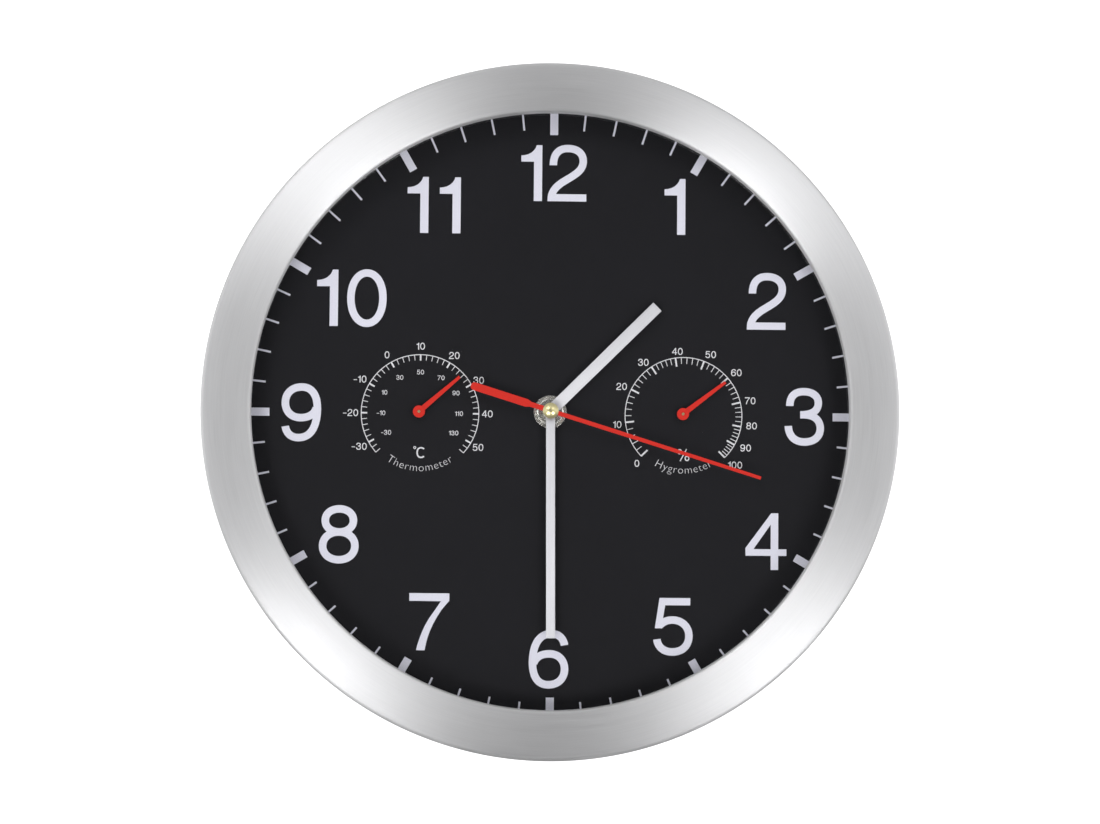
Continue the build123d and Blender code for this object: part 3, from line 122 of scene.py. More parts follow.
def mesh_piece(name, made, body, slot, material, *replaced):
    """Ends a bmesh as a piece that rides on a body and may stand for CAD nodes."""
    bmesh.ops.remove_doubles(made, verts=made.verts, dist=weld_gap)
    bmesh.ops.recalc_face_normals(made, faces=made.faces)
    mesh = bpy.data.meshes.new(name)
    made.to_mesh(mesh)
    made.free()
    piece = bpy.data.objects.new(name, mesh)
    bpy.context.collection.objects.link(piece)
    mesh.materials.append(material)
    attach(piece, body)
    if replaced:
        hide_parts(*replaced)
    return piece


def shade_by_angle(piece, angle):
    """Smooth shading that keeps the edges sharper than this angle."""
    piece.data.shade_smooth()
    made = bmesh.new()
    made.from_mesh(piece.data)
    for edge in made.edges:
        edge.smooth = edge.calc_face_angle(0) < angle
    made.to_mesh(piece.data)
    made.free()


def spun_outline(corners, steps, centre=(0, 0)):
    """A bmesh spun round the clock's depth axis from corners (radius, depth, rounding)."""
    made = bmesh.new()
    verts = [made.verts.new((centre[0] + radius, -depth, centre[1])) for radius, depth, _ in corners]
    edges = [made.edges.new(pair) for pair in zip(verts, verts[1:])]
    closed = corners[0][0] > 0 and corners[-1][0] > 0
    if closed:
        edges.append(made.edges.new((verts[-1], verts[0])))
    for vert, (_, _, rounding) in zip(verts, corners):
        if rounding:
            bmesh.ops.bevel(
                made, geom=[vert], offset=rounding, offset_type="WIDTH", affect="VERTICES",
                segments=rounding_steps, profile=0.5, material=-1,
            )
    bmesh.ops.spin(
        made, geom=made.verts[:] + made.edges[:], cent=(centre[0], 0, centre[1]), axis=(0, 1, 0),
        angle=2 * pi, steps=steps, use_merge=True,
    )
    return made


rim_inner = rim_radius - rim_width
rim_middle = (rim_radius + rim_inner) / 2
crown_radius = ((rim_width / 2) ** 2 + rim_crown**2) / (2 * rim_crown)


def crown(inset):
    """Points across the crowned front, this far inside the sheet's outer face."""
    half = rim_width / 2 - inset
    points = []
    for n in range(rim_crown_steps + 1):
        across = half - 2 * half * n / rim_crown_steps
        fall = crown_radius - (crown_radius**2 - across**2) ** 0.5
        points.append((rim_middle + across, rim_front - inset - fall))
    return points


outer_skin = crown(0)
inner_skin = crown(rim_sheet)
rim_corners = [(rim_radius - rim_hem, rim_back, 0), (rim_radius, rim_back, rim_back_corner)]
rim_corners += [(*outer_skin[0], rim_outer_corner)]
rim_corners += [(r, d, 0) for r, d in outer_skin[2:-1]]
rim_corners += [(*outer_skin[-1], rim_inner_corner)]
rim_corners += [(rim_inner, rim_front - rim_lip, 0), (rim_inner + rim_sheet, rim_front - rim_lip, 0)]
rim_corners += [(*inner_skin[-1], rim_inner_corner / 2)]
rim_corners += [(r, d, 0) for r, d in reversed(inner_skin[2:-1])]
rim_corners += [(*inner_skin[0], rim_outer_corner - rim_sheet)]
hem_inside = rim_back + rim_sheet
rim_corners += [(rim_radius - rim_sheet, hem_inside, 0), (rim_radius - rim_hem, hem_inside, 0)]

# Brushed aluminium: fine lines that run round the ring and fade in and out, so its shine fans out across
# them.
aluminium, tree, shader = new_material("brushed_aluminium", "#D5D5D6", 1.0, 0.46, Anisotropic=0.9)
place = add_node(tree, "ShaderNodeTexCoord")
flat = add_node(
    tree, "ShaderNodeVectorMath", {"operation": "MULTIPLY", 1: (1, 0, 1)}, {0: place.outputs["Object"]}
)
radius = add_node(tree, "ShaderNodeVectorMath", {"operation": "LENGTH"}, {0: flat.outputs[0]})
parts = add_node(tree, "ShaderNodeSeparateXYZ", links={0: place.outputs["Object"]})
across = add_node(
    tree, "ShaderNodeMath", {"operation": "SUBTRACT"}, {0: radius.outputs["Value"], 1: parts.outputs["Y"]}
)
slow = add_node(
    tree, "ShaderNodeVectorMath",
    {"operation": "MULTIPLY", 1: (brush_fade_share, 0, brush_fade_share)}, {0: place.outputs["Object"]},
)
line = add_node(tree, "ShaderNodeCombineXYZ", links={"Y": across.outputs[0]})
grain = add_node(tree, "ShaderNodeVectorMath", {"operation": "ADD"}, {0: slow.outputs[0], 1: line.outputs[0]})
brushing = add_node(
    tree, "ShaderNodeTexNoise", {"Scale": 1 / brush_line, "Detail": 3.0, "Roughness": 0.7},
    {"Vector": grain.outputs[0]},
)
shine = add_node(
    tree, "ShaderNodeMapRange", {"From Min": 0.3, "From Max": 0.7, "To Min": 0.4, "To Max": 0.52},
    {"Value": brushing.outputs["Fac"]},
)
tree.links.new(shine.outputs[0], shader.inputs["Roughness"])
tone = add_node(
    tree, "ShaderNodeMix", {"data_type": "RGBA", 6: linear("#BFBFC1"), 7: linear("#D5D5D6")},
    {0: brushing.outputs["Fac"]},
)
tree.links.new(tone.outputs[2], shader.inputs["Base Color"])
relief = add_node(
    tree, "ShaderNodeBump", {"Strength": 0.12, "Distance": brush_depth}, {"Height": brushing.outputs["Fac"]}
)
tree.links.new(relief.outputs[0], shader.inputs["Normal"])
round_axis = add_node(tree, "ShaderNodeTangent", {"direction_type": "RADIAL", "axis": "Y"})
tree.links.new(round_axis.outputs[0], shader.inputs["Tangent"])
shader.inputs["Anisotropic Rotation"].default_value = 0.25

rim = mesh_piece(
    "rim_ring", spun_outline(rim_corners, rim_turn_steps), "case", "rim_aluminium", aluminium, "rim"
)
shade_by_angle(rim, radians(35))

# Glass: a flat clear disc with faint wiping marks. It bends and mirrors only what is seen in it: the light on
# the pieces behind goes straight through, so that they are lit and shine as behind real glass.
glass_smear = 18 * mm
glass_haze = 0.012
glass, tree, shader = new_material("clear_glass", "#FFFFFF", 0.0, 0.0, Transmission_Weight=1.0, IOR=1.45)
place = add_node(tree, "ShaderNodeTexCoord")
smear = add_node(
    tree, "ShaderNodeTexNoise", {"Scale": 1 / glass_smear, "Detail": 2.0}, {"Vector": place.outputs["Object"]}
)
haze = add_node(
    tree, "ShaderNodeMapRange", {"From Min": 0.45, "From Max": 0.8, "To Min": 0.0, "To Max": glass_haze},
    {"Value": smear.outputs["Fac"]},
)
tree.links.new(haze.outputs[0], shader.inputs["Roughness"])
rays = add_node(tree, "ShaderNodeLightPath")
clear = add_node(tree, "ShaderNodeBsdfTransparent")
reflected = add_node(
    tree, "ShaderNodeMath", {"operation": "SUBTRACT"},
    {0: rays.outputs["Is Glossy Ray"], 1: rays.outputs["Is Transmission Ray"]},
)
scattered = add_node(
    tree, "ShaderNodeMath", {"operation": "MAXIMUM"},
    {0: rays.outputs["Is Diffuse Ray"], 1: reflected.outputs[0]},
)
straight = add_node(
    tree, "ShaderNodeMath", {"operation": "MAXIMUM"},
    {0: rays.outputs["Is Shadow Ray"], 1: scattered.outputs[0]},
)
pane = add_node(
    tree, "ShaderNodeMixShader", links={0: straight.outputs[0], 1: shader.outputs[0], 2: clear.outputs[0]}
)
tree.links.new(pane.outputs[0], tree.nodes["Material Output"].inputs["Surface"])


def dress(material, *nodes):
    """Gives CAD nodes their material."""
    for name in nodes:
        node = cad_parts[name]
        for slot in node.material_slots:
            slot.material = material
        if not node.material_slots:
            node.data.materials.append(material)


dress(glass, "glass")

# Dial: a sheet metal disc with a flat satin black coat. The coat has a fine orange peel that only
# softens its reflections, and its black is a trifle cloudy.
dial_peel = 0.6 * mm
dial_peel_depth = 0.01 * mm
dial_cloud = 60 * mm
dial_coat, tree, shader = new_material("satin_black_coat", "#1A1A1D", 0.0, 0.55, Specular_IOR_Level=0.07)
place = add_node(tree, "ShaderNodeTexCoord")
peel = add_node(
    tree, "ShaderNodeTexNoise", {"Scale": 1 / dial_peel, "Detail": 2.0}, {"Vector": place.outputs["Object"]}
)
relief = add_node(
    tree, "ShaderNodeBump", {"Strength": 0.1, "Distance": dial_peel_depth}, {"Height": peel.outputs["Fac"]}
)
tree.links.new(relief.outputs[0], shader.inputs["Normal"])
cloud = add_node(
    tree, "ShaderNodeTexNoise", {"Scale": 1 / dial_cloud, "Detail": 3.0}, {"Vector": place.outputs["Object"]}
)
coat = add_node(
    tree, "ShaderNodeMix", {"data_type": "RGBA", 6: linear("#151518"), 7: linear("#19191D")},
    {0: cloud.outputs["Fac"]},
)
tree.links.new(coat.outputs[2], shader.inputs["Base Color"])
dress(dial_coat, "dial")

# Print: numerals and minute track in a cool white, and both scales in a plainer one, screen printed a
# little proud of the dial. The ink's density varies a touch over the screen's threads, drawn coarse to show.
screen_thread = 0.25 * mm


def screen_ink(name, thin, full):
    """A flat printing ink, from its thin places to its full ones."""
    material, tree, shader = new_material(name, full, 0.0, 0.6, Specular_IOR_Level=0.2)
    place = add_node(tree, "ShaderNodeTexCoord")
    screen = add_node(
        tree, "ShaderNodeTexNoise", {"Scale": 1 / screen_thread, "Detail": 2.0},
        {"Vector": place.outputs["Object"]},
    )
    density = add_node(
        tree, "ShaderNodeMix", {"data_type": "RGBA", 6: linear(thin), 7: linear(full)},
        {0: screen.outputs["Fac"]},
    )
    tree.links.new(density.outputs[2], shader.inputs["Base Color"])
    return material


dress(screen_ink("screen_ink_cool_white", "#D3D3DF", "#DDDDE9"), "hour_numerals", "minute_track")
scale_ink = screen_ink("screen_ink_grey_white", "#CFCFD3", "#D9D9DD")
dress(scale_ink, "thermometer_scale", "hygrometer_scale")

# Words under the two scales: the names of the instruments, in light letters bent round each scale and
# printed with it.
word_radius = 25.2 * mm
word_height = 4.9 * mm
word_stretch = 1.04
letter_thinning = 0.085 * mm
letter_space = 1.07
letter_steps = 4
letter_weld_gap = 1e-6
print_turn = radians(0.45)
print_off_bores = Vector((0.45, 0, -0.6)) * mm
print_back = -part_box("dial")[0].y
print_front = -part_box("hour_numerals")[0].y


def lettering(name, words, height, **settings):
    """A bmesh of flat letters, with these settings on their text curve."""
    letters = bpy.data.curves.new(name, "FONT")
    letters.body = words
    letters.size = height
    for key, value in settings.items():
        setattr(letters, key, value)
    written = bpy.data.objects.new(name, letters)
    bpy.context.collection.objects.link(written)
    bpy.context.view_layer.update()
    drawn = written.evaluated_get(bpy.context.evaluated_depsgraph_get())
    made = bmesh.new()
    made.from_mesh(bpy.data.meshes.new_from_object(drawn))
    bpy.data.objects.remove(written)
    return made


def print_letters(name, made, rise):
    """Raises flat letters along the depth axis by this much and makes them a printed piece of the case."""
    raised = bmesh.ops.extrude_face_region(made, geom=made.faces[:])
    moved = [part for part in raised["geom"] if isinstance(part, bmesh.types.BMVert)]
    bmesh.ops.translate(made, verts=moved, vec=(0, rise, 0))
    mesh_piece(name, made, "case", "print_white", scale_ink)


def printed_word(name, word, arbor):
    """A word bent under an instrument, read from left to right."""
    low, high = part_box(arbor)
    centre = (low + high) / 2 + print_off_bores
    made = lettering(
        name, word, word_height,
        offset=-letter_thinning, space_character=letter_space, resolution_u=letter_steps,
    )
    bmesh.ops.remove_doubles(made, verts=made.verts, dist=letter_weld_gap)
    half = max(vert.co.x for vert in made.verts) / 2
    for vert in made.verts:
        angle = print_turn - (vert.co.x - half) * word_stretch / word_radius
        reach = word_radius - vert.co.y
        vert.co = (centre.x - reach * sin(angle), -print_back, centre.z - reach * cos(angle))
    print_letters(name, made, print_back - print_front)


printed_word("thermometer_word", "Thermometer", "thermometer_arbor")
printed_word("hygrometer_word", "Hygrometer", "hygrometer_arbor")

# Hour and minute hands: flat batons stamped from aluminium sheet, each pressed on a pipe by a short collet.
# They are brushed along their length and matt, so they shine softly and evenly.
hand_edge = 0.08 * mm
hand_sheet = 0.4 * mm
blade_sink = 0.01 * mm
hand_brush_length = 25 * mm
hand_brush_line = mm / 2.6
hub_steps = 64
hour_hand_angle = radians(45.6)
hour_root_width = 4.9 * mm
hour_tip_width = 5.15 * mm
hour_length = 65.2 * mm
hour_hub = 3.25 * mm
hour_bore = 2.55 * mm
minute_hand_angle = radians(180.0)
minute_width = 3.9 * mm
minute_length = 98.0 * mm
minute_hub = 2.5 * mm
minute_bore = 1.7 * mm
hand_metal, tree, shader = new_material("satin_aluminium", "#C7C7CB", 1.0, 0.6, Anisotropic=0.1)
place = add_node(tree, "ShaderNodeUVMap", {"uv_map": "along"})
stretched = add_node(
    tree, "ShaderNodeVectorMath",
    {"operation": "MULTIPLY", 1: (1 / hand_brush_length, 1 / hand_brush_line, 1)}, {0: place.outputs[0]},
)
brushing = add_node(
    tree, "ShaderNodeTexNoise", {"Scale": 1.0, "Detail": 3.0}, {"Vector": stretched.outputs[0]}
)
shine = add_node(
    tree, "ShaderNodeMapRange", {"From Min": 0.3, "From Max": 0.7, "To Min": 0.56, "To Max": 0.66},
    {"Value": brushing.outputs["Fac"]},
)
tree.links.new(shine.outputs[0], shader.inputs["Roughness"])
along = add_node(tree, "ShaderNodeTangent", {"direction_type": "UV_MAP", "uv_map": "along"})
tree.links.new(along.outputs[0], shader.inputs["Tangent"])
shader.inputs["Anisotropic Rotation"].default_value = 0.25


def baton(name, node, body, angle, root_width, tip_width, length, hub, bore):
    """A flat hand: a hub ring on a collet, and a blade with eased edges that grows from it."""
    low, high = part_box(node)
    front, back = -low.y, -high.y
    made = spun_outline(
        [(bore, back, 0), (hub, back, 0), (hub, front, hand_edge), (bore, front, 0)], hub_steps
    )
    blade = bmesh.ops.create_grid(made, x_segments=1, y_segments=1, size=0.5)["verts"]
    for vert in blade:
        far = vert.co.x > 0
        side = 1 if vert.co.y > 0 else -1
        vert.co = (length if far else (bore + hub) / 2, 0, side * (tip_width if far else root_width) / 2)
    bmesh.ops.translate(made, verts=blade, vec=(0, -(front - hand_sheet), 0))
    faces = list({face for vert in blade for face in vert.link_faces})
    raised = bmesh.ops.extrude_face_region(made, geom=faces)
    top = [part for part in raised["geom"] if isinstance(part, bmesh.types.BMVert)]
    bmesh.ops.translate(made, verts=top, vec=(0, blade_sink - hand_sheet, 0))
    rims = {edge for vert in top for edge in vert.link_edges if edge.other_vert(vert) in top}
    bmesh.ops.bevel(
        made, geom=list(rims), offset=hand_edge, affect="EDGES", segments=2, profile=0.5, material=-1
    )
    uv = made.loops.layers.uv.new("along")
    for face in made.faces:
        for loop in face.loops:
            loop[uv].uv = (loop.vert.co.x, loop.vert.co.z)
    turn = Matrix.Rotation(angle - pi / 2, 4, (0, 1, 0))
    bmesh.ops.transform(made, matrix=turn, verts=made.verts)
    hand = mesh_piece(name, made, body, "hand_aluminium", hand_metal, node)
    shade_by_angle(hand, radians(30))


baton(
    "hour_baton", "hour_hand", "hour_works", hour_hand_angle,
    hour_root_width, hour_tip_width, hour_length, hour_hub, hour_bore,
)
baton(
    "minute_baton", "minute_hand", "minute_works", minute_hand_angle,
    minute_width, minute_width, minute_length, minute_hub, minute_bore,
)

# Second hand and pointers: thin stamped sheet in a satin red coat, each pressed on its own arbor. The red
# varies a little from speck to speck, which keeps it from looking flat.
red_speck = 0.4 * mm
red_coat, tree, shader = new_material("satin_red_coat", "#CB261C", 0.0, 0.5, Specular_IOR_Level=0.15)
place = add_node(tree, "ShaderNodeTexCoord")
speck = add_node(
    tree, "ShaderNodeTexNoise", {"Scale": 1 / red_speck, "Detail": 2.0}, {"Vector": place.outputs["Object"]}
)
coat = add_node(
    tree, "ShaderNodeMix", {"data_type": "RGBA", 6: linear("#C4241A"), 7: linear("#CE2B1F")},
    {0: speck.outputs["Fac"]},
)
tree.links.new(coat.outputs[2], shader.inputs["Base Color"])
dress(red_coat, "second_hand", "thermometer_pointer", "hygrometer_pointer")

# Cap: a small dome turned from pale brass over the second hand's hub, polished, so it holds small bright
# highlights. The bushes and arbors of the instruments share its brass.
cap_low, cap_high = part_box("second_cap")
cap_radius = cap_high.x
cap_edge = 0.5 * mm
cap_steps = 10
cap_turn_steps = 64
cap_front = -cap_low.y
cap_back = -cap_high.y
cap_rise = cap_front - cap_back - cap_edge
dome_radius = (cap_radius**2 + cap_rise**2) / (2 * cap_rise)
dome = []
for n in range(cap_steps + 1):
    reach = cap_radius * (1 - n / cap_steps)
    dome.append((reach, cap_front - dome_radius + (dome_radius**2 - reach**2) ** 0.5, 0))


def turned_metal(name, colour, tone, roughness, mark_width):
    """A plated or worked metal with faint marks, where its colour leans to a second tone."""
    material, tree, shader = new_material(name, colour, 1.0, roughness)
    place = add_node(tree, "ShaderNodeTexCoord")
    marks = add_node(
        tree, "ShaderNodeTexNoise", {"Scale": 1 / mark_width, "Detail": 2.0},
        {"Vector": place.outputs["Object"]},
    )
    shine = add_node(
        tree, "ShaderNodeMapRange", {"To Min": roughness * 0.8, "To Max": roughness * 1.2},
        {"Value": marks.outputs["Fac"]},
    )
    tree.links.new(shine.outputs[0], shader.inputs["Roughness"])
    mixed = add_node(
        tree, "ShaderNodeMix", {"data_type": "RGBA", 6: linear(tone), 7: linear(colour)},
        {0: marks.outputs["Fac"]},
    )
    tree.links.new(mixed.outputs[2], shader.inputs["Base Color"])
    return material


brass = turned_metal("polished_brass", "#CFC698", "#C0B78A", roughness=0.3, mark_width=0.5 * mm)
cap = mesh_piece(
    "cap_dome", spun_outline([(0, cap_back, 0), (cap_radius, cap_back, 0)] + dome, cap_turn_steps),
    "second_works", "brass", brass, "second_cap",
)
shade_by_angle(cap, radians(40))
dress(
    brass, "thermometer_bush", "hygrometer_bush", "thermometer_arbor", "hygrometer_arbor",
    "thermometer_spiral",
)

# Washer, nut and threaded bush: bright nickel plate over turned brass, as on the contacts and the crystal.
# The washer is spun with two ridges, which catch the light as rings round the nut.
washer_edge = 0.12 * mm
ridge = 0.7 * mm
ridge_count = 2
washer_turn_steps = 96
nickel = turned_metal("nickel_plate", "#E6E4DF", "#D8D6D0", roughness=0.26, mark_width=0.4 * mm)
dress(nickel, "hand_nut", "threaded_bush", "quartz_crystal", "contact_positive", "contact_negative")
washer_low, washer_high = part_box("dial_washer")
bush_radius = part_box("threaded_bush")[1].x
washer_back = -washer_high.y
washer_front = -washer_low.y
washer_rim = washer_high.x
washer_groove = (washer_front + washer_back) / 2
washer_outline = [(bush_radius, washer_back, 0), (washer_rim, washer_back, 0)]
for step in range(ridge_count):
    outside = washer_rim - 2 * ridge * step
    washer_outline += [(outside, washer_front, washer_edge), (outside - ridge, washer_front, washer_edge)]
    washer_outline += [(outside - ridge - washer_edge, washer_groove, 0)]
    washer_outline += [(outside - 2 * ridge + washer_edge, washer_groove, 0)]
washer_outline += [(washer_rim - 2 * ridge * ridge_count, washer_front, 0), (bush_radius, washer_front, 0)]
washer = mesh_piece(
    "ridged_washer", spun_outline(washer_outline, washer_turn_steps),
    "case", "nickel", nickel, "dial_washer",
)
shade_by_angle(washer, radians(30))

# Screws: six of bright steel that hold the back cover to the spacer ring, glinting against the black.
steel = turned_metal("bright_steel", "#BDBDBF", "#A9A9AC", roughness=0.28, mark_width=0.4 * mm)
dress(steel, "back_screws")


def moulded(name, colour, tone, roughness, grain, depth):
    """A moulded plastic or rubber with its mould's fine grain, where its colour leans to a second tone."""
    material, tree, shader = new_material(name, colour, 0.0, roughness)
    place = add_node(tree, "ShaderNodeTexCoord")
    surface = add_node(
        tree, "ShaderNodeTexNoise", {"Scale": 1 / grain, "Detail": 3.0}, {"Vector": place.outputs["Object"]}
    )
    relief = add_node(
        tree, "ShaderNodeBump", {"Strength": 0.5, "Distance": depth}, {"Height": surface.outputs["Fac"]}
    )
    tree.links.new(relief.outputs[0], shader.inputs["Normal"])
    shine = add_node(
        tree, "ShaderNodeMapRange", {"To Min": roughness * 0.85, "To Max": roughness * 1.15},
        {"Value": surface.outputs["Fac"]},
    )
    tree.links.new(shine.outputs[0], shader.inputs["Roughness"])
    mixed = add_node(
        tree, "ShaderNodeMix", {"data_type": "RGBA", 6: linear(tone), 7: linear(colour)},
        {0: surface.outputs["Fac"]},
    )
    tree.links.new(mixed.outputs[2], shader.inputs["Base Color"])
    return material


# Back cover, spacer ring and cups: black ABS, injection moulded with a fine spark-eroded grain that keeps
# them from shining.
case_plastic = moulded("black_abs", "#29292C", "#222225", roughness=0.55, grain=0.5 * mm, depth=0.05 * mm)
dress(case_plastic, "back_cover", "spacer_ring", "thermometer_cup", "hygrometer_cup")

# Movement case: two moulded halves of black polystyrene, smoother than the cover and so a little glossier.
# The setting knob is a dark grey one.
movement_plastic = moulded(
    "black_polystyrene", "#2E2E31", "#28282B", roughness=0.4, grain=0.8 * mm, depth=0.02 * mm
)
dress(movement_plastic, "movement_rear_case", "movement_front_case")
knob_plastic = moulded(
    "dark_grey_polystyrene", "#4C4C50", "#444448", roughness=0.45, grain=0.6 * mm, depth=0.02 * mm
)
dress(knob_plastic, "set_knob")

# Rubber washer: dull black rubber between movement and dial, clamped by the nut in front.
rubber = moulded("black_rubber", "#1C1C1C", "#171717", roughness=0.85, grain=0.3 * mm, depth=0.04 * mm)
dress(rubber, "rubber_washer")

# Wheels, bobbin and pipe of the movement: natural white acetal, injection moulded, which looks a little
# waxy.
acetal = moulded("white_acetal", "#DDDAD0", "#D2CFC4", roughness=0.45, grain=0.6 * mm, depth=0.01 * mm)
dress(
    acetal, "intermediate_wheel", "second_wheel", "third_wheel", "minute_gear", "minute_pipe", "motion_wheel",
    "hour_wheel", "coil_bobbin",
)

# Motor and circuit: enamelled copper wire, iron laminations, a sintered magnet, and a board under a green
# solder mask.
copper = turned_metal("enamelled_copper", "#C06A3A", "#A85A30", roughness=0.35, mark_width=0.2 * mm)
dress(copper, "coil_winding", "hygrometer_spiral")
iron = turned_metal("silicon_iron", "#8E8E90", "#7C7C7E", roughness=0.4, mark_width=0.5 * mm)
dress(iron, "coil_core", "stator")
magnet = turned_metal("sintered_magnet", "#4A4A4C", "#3C3C3E", roughness=0.55, mark_width=0.3 * mm)
dress(magnet, "rotor")
board = moulded("green_solder_mask", "#1F5A34", "#184A2A", roughness=0.3, grain=1.0 * mm, depth=0.01 * mm)
dress(board, "circuit_board")

# Battery: an AA cell, a nickel plated can with a nub, in a plain blue sleeve shrunk over both shoulders.
# It lies in the movement's back and slides out of it.
battery_low, battery_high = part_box("battery")
battery_axis = (battery_low + battery_high) / 2
cell_radius = battery_high.z - battery_axis.z
cell_left = battery_low.x
cell_tip = battery_high.x
nub_height = 1.0 * mm
cell_right = cell_tip - nub_height
nub_radius = 2.75 * mm
nub_corner = 0.4 * mm
sleeve_wall = 0.2 * mm
sleeve_fold = 1.1 * mm
sleeve_corner = 0.45 * mm
cell_turn_steps = 96


def cell_piece(name, corners, slot, material):
    """A piece spun round the battery's axis, from corners (radius, place along the cell, rounding)."""
    made = spun_outline(corners, cell_turn_steps)
    bmesh.ops.rotate(made, verts=made.verts, cent=(0, 0, 0), matrix=Matrix.Rotation(pi / 2, 3, "Z"))
    bmesh.ops.translate(made, verts=made.verts, vec=(0, battery_axis.y, battery_axis.z))
    piece = mesh_piece(name, made, "cell", slot, material, "battery")
    shade_by_angle(piece, radians(35))


can_radius = cell_radius - sleeve_wall
cell_piece(
    "battery_can",
    [
        (0, cell_left + sleeve_wall / 2, 0),
        (can_radius, cell_left + sleeve_wall / 2, sleeve_corner),
        (can_radius, cell_right - sleeve_wall, sleeve_corner),
        (nub_radius, cell_right - sleeve_wall, 0),
        (nub_radius, cell_tip, nub_corner),
        (0, cell_tip, 0),
    ],
    "nickel", nickel,
)
sleeve = moulded("blue_sleeve", "#2A4E8C", "#254680", roughness=0.3, grain=2.0 * mm, depth=0.01 * mm)
cell_piece(
    "battery_sleeve",
    [
        (cell_radius - sleeve_fold, cell_left, 0),
        (cell_radius, cell_left, sleeve_corner),
        (cell_radius, cell_right, sleeve_corner),
        (cell_radius - sleeve_fold, cell_right, 0),
        (cell_radius - sleeve_fold, cell_right - sleeve_wall / 2, 0),
        (cell_radius - sleeve_wall, cell_right - sleeve_wall / 2, 0),
        (cell_radius - sleeve_wall, cell_left + sleeve_wall / 2, 0),
        (cell_radius - sleeve_fold, cell_left + sleeve_wall / 2, 0),
    ],
    "battery_wrap", sleeve,
)

# Battery signs: a plus and a minus on the movement's back, by the ends of the cell, printed in the white ink
# of the scales.
sign_height = 8.0 * mm
sign_above_cell = 5.5 * mm
sign_from_end = 5.0 * mm
case_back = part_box("movement_rear_case")[1].y


def printed_sign(name, sign, across):
    """A sign on the movement's back that reads rightly from behind."""
    made = lettering(name, sign, sign_height, align_x="CENTER")
    up = battery_high.z + sign_above_cell - sign_height / 2
    for vert in made.verts:
        vert.co = (across - vert.co.x, case_back, up + vert.co.y)
    print_letters(name, made, print_front - print_back)


printed_sign("minus_sign", "-", cell_left + sign_from_end)
printed_sign("plus_sign", "+", cell_tip - sign_from_end)

# The stage: a pale floor below the clock that fades out, four soft lamps in front of it and one behind, and
# a white room.
floor_drop = 0.35
floor_radius = 0.9
floor_glow = 0.45
floor_edges = 96
floor_made = bmesh.new()
bmesh.ops.create_circle(floor_made, cap_ends=True, segments=floor_edges, radius=floor_radius)
floor_mesh = bpy.data.meshes.new("floor")
floor_made.to_mesh(floor_mesh)
floor_made.free()
floor = bpy.data.objects.new("floor", floor_mesh)
floor.location.z = -floor_drop
bpy.context.collection.objects.link(floor)
floor_paint, tree, shader = new_material(
    "pale_floor", "#C4C4C4", 0.0, 0.9, Emission_Color=linear("#FFFFFF"), Specular_IOR_Level=0.0
)
rays = add_node(tree, "ShaderNodeLightPath")
glow = add_node(
    tree, "ShaderNodeMath", {"operation": "MULTIPLY", 1: floor_glow}, {0: rays.outputs["Is Camera Ray"]}
)
tree.links.new(glow.outputs[0], shader.inputs["Emission Strength"])
place = add_node(tree, "ShaderNodeTexCoord")
radius = add_node(tree, "ShaderNodeVectorMath", {"operation": "LENGTH"}, {0: place.outputs["Object"]})
fade = add_node(
    tree, "ShaderNodeMapRange",
    {"interpolation_type": "SMOOTHSTEP", "From Min": floor_radius / 3, "From Max": floor_radius},
    {"Value": radius.outputs["Value"]},
)
clear = add_node(tree, "ShaderNodeBsdfTransparent")
faded = add_node(
    tree, "ShaderNodeMixShader", links={0: fade.outputs[0], 1: shader.outputs[0], 2: clear.outputs[0]}
)
tree.links.new(faded.outputs[0], tree.nodes["Material Output"].inputs["Surface"])
floor_mesh.materials.append(floor_paint)

# The lamps aren't mirrored in the glass, as behind a photographer's polarising filter.
lamp_size = 0.7
filtered = bpy.data.collections.new("behind_polarising_filter")
filtered.objects.link(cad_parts["glass"])
for member in filtered.collection_objects:
    member.light_linking.link_state = "EXCLUDE"


def soft_lamp(name, place, power):
    """A round soft box that faces the clock."""
    light = bpy.data.lights.new(name, "AREA")
    light.shape = "DISK"
    light.size = lamp_size
    light.energy = power
    lamp = bpy.data.objects.new(name, light)
    lamp.light_linking.receiver_collection = filtered
    lamp.location = place
    lamp.rotation_euler = Vector(place).to_track_quat("Z", "Y").to_euler()
    bpy.context.collection.objects.link(lamp)


soft_lamp("upper_left_lamp", (-0.66, -1.8, 0.9), 6.9)
soft_lamp("upper_right_lamp", (0.66, -1.8, 0.72), 3.45)
soft_lamp("lower_left_lamp", (-0.66, -1.85, -0.73), 15.6)
soft_lamp("lower_right_lamp", (0.72, -1.85, -0.68), 12.9)
soft_lamp("back_lamp", (-0.6, 1.8, 0.9), 8.0)

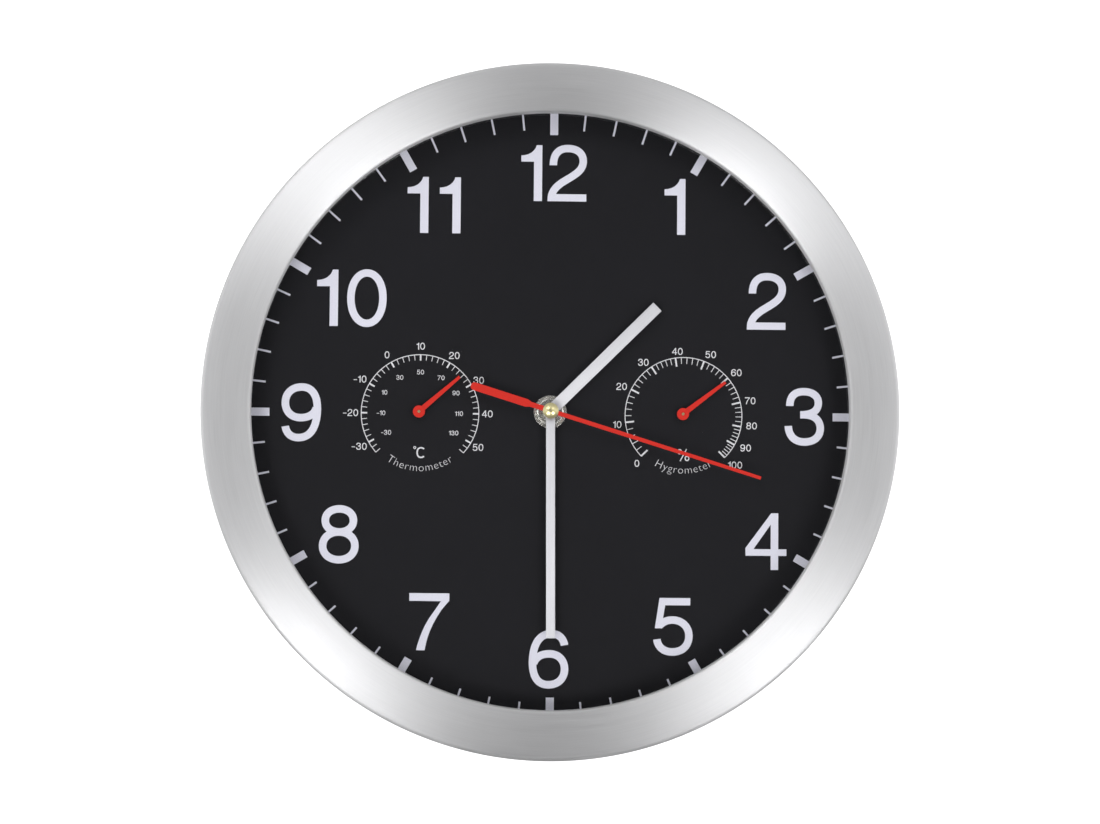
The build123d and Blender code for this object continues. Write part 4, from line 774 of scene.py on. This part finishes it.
# The room: how bright its walls are on dull surfaces and in mirroring ones, and what is left of that behind
# the camera, underfoot and overhead. The camera itself sees plain white.
room_level = 0.93
mirror_level = 1.5
dark_level = 0.03
low_level = 0.08
top_level = 0.52
world = bpy.data.worlds.new("room")
world.use_nodes = True
bpy.context.scene.world = world
tree = world.node_tree
way = add_node(tree, "ShaderNodeTexCoord")
parts = add_node(tree, "ShaderNodeSeparateXYZ", links={0: way.outputs["Generated"]})
camera_side = add_node(
    tree, "ShaderNodeMapRange",
    {
        "interpolation_type": "SMOOTHSTEP", "From Min": -0.98, "From Max": -0.78,
        "To Min": dark_level, "To Max": 1.0,
    },
    {"Value": parts.outputs["Y"]},
)
rays = add_node(tree, "ShaderNodeLightPath")
seen = add_node(
    tree, "ShaderNodeMath", {"operation": "MAXIMUM"},
    {0: rays.outputs["Is Camera Ray"], 1: rays.outputs["Is Transmission Ray"]},
)
mirrored = add_node(
    tree, "ShaderNodeMath", {"operation": "MAXIMUM"}, {0: seen.outputs[0], 1: rays.outputs["Is Glossy Ray"]}
)
direct = add_node(
    tree, "ShaderNodeMath", {"operation": "LESS_THAN", 1: 0.5}, {0: rays.outputs["Diffuse Depth"]}
)
white_seen = add_node(
    tree, "ShaderNodeMath", {"operation": "MULTIPLY"}, {0: mirrored.outputs[0], 1: direct.outputs[0]}
)
level = add_node(
    tree, "ShaderNodeMapRange", {"To Min": room_level, "To Max": mirror_level},
    {"Value": white_seen.outputs[0]},
)
upward = add_node(
    tree, "ShaderNodeMapRange",
    {
        "interpolation_type": "SMOOTHSTEP", "From Min": -0.65, "From Max": 0.1,
        "To Min": low_level, "To Max": 1.0,
    },
    {"Value": parts.outputs["Z"]},
)
overhead = add_node(
    tree, "ShaderNodeMapRange",
    {
        "interpolation_type": "SMOOTHSTEP", "From Min": 0.0, "From Max": 0.7,
        "To Min": 1.0, "To Max": top_level,
    },
    {"Value": parts.outputs["Z"]},
)
height = add_node(
    tree, "ShaderNodeMath", {"operation": "MULTIPLY"}, {0: upward.outputs[0], 1: overhead.outputs[0]}
)
sides = add_node(
    tree, "ShaderNodeMath", {"operation": "MULTIPLY"}, {0: height.outputs[0], 1: camera_side.outputs[0]}
)
shaded = add_node(
    tree, "ShaderNodeMath", {"operation": "MULTIPLY"}, {0: level.outputs[0], 1: sides.outputs[0]}
)
strength = add_node(
    tree, "ShaderNodeMath", {"operation": "MAXIMUM"}, {0: shaded.outputs[0], 1: rays.outputs["Is Camera Ray"]}
)
tree.links.new(strength.outputs[0], tree.nodes["Background"].inputs["Strength"])
tree.nodes["Background"].inputs["Color"].default_value = linear("#FFFFFF")

bpy.context.scene.view_settings.view_transform = "Standard"
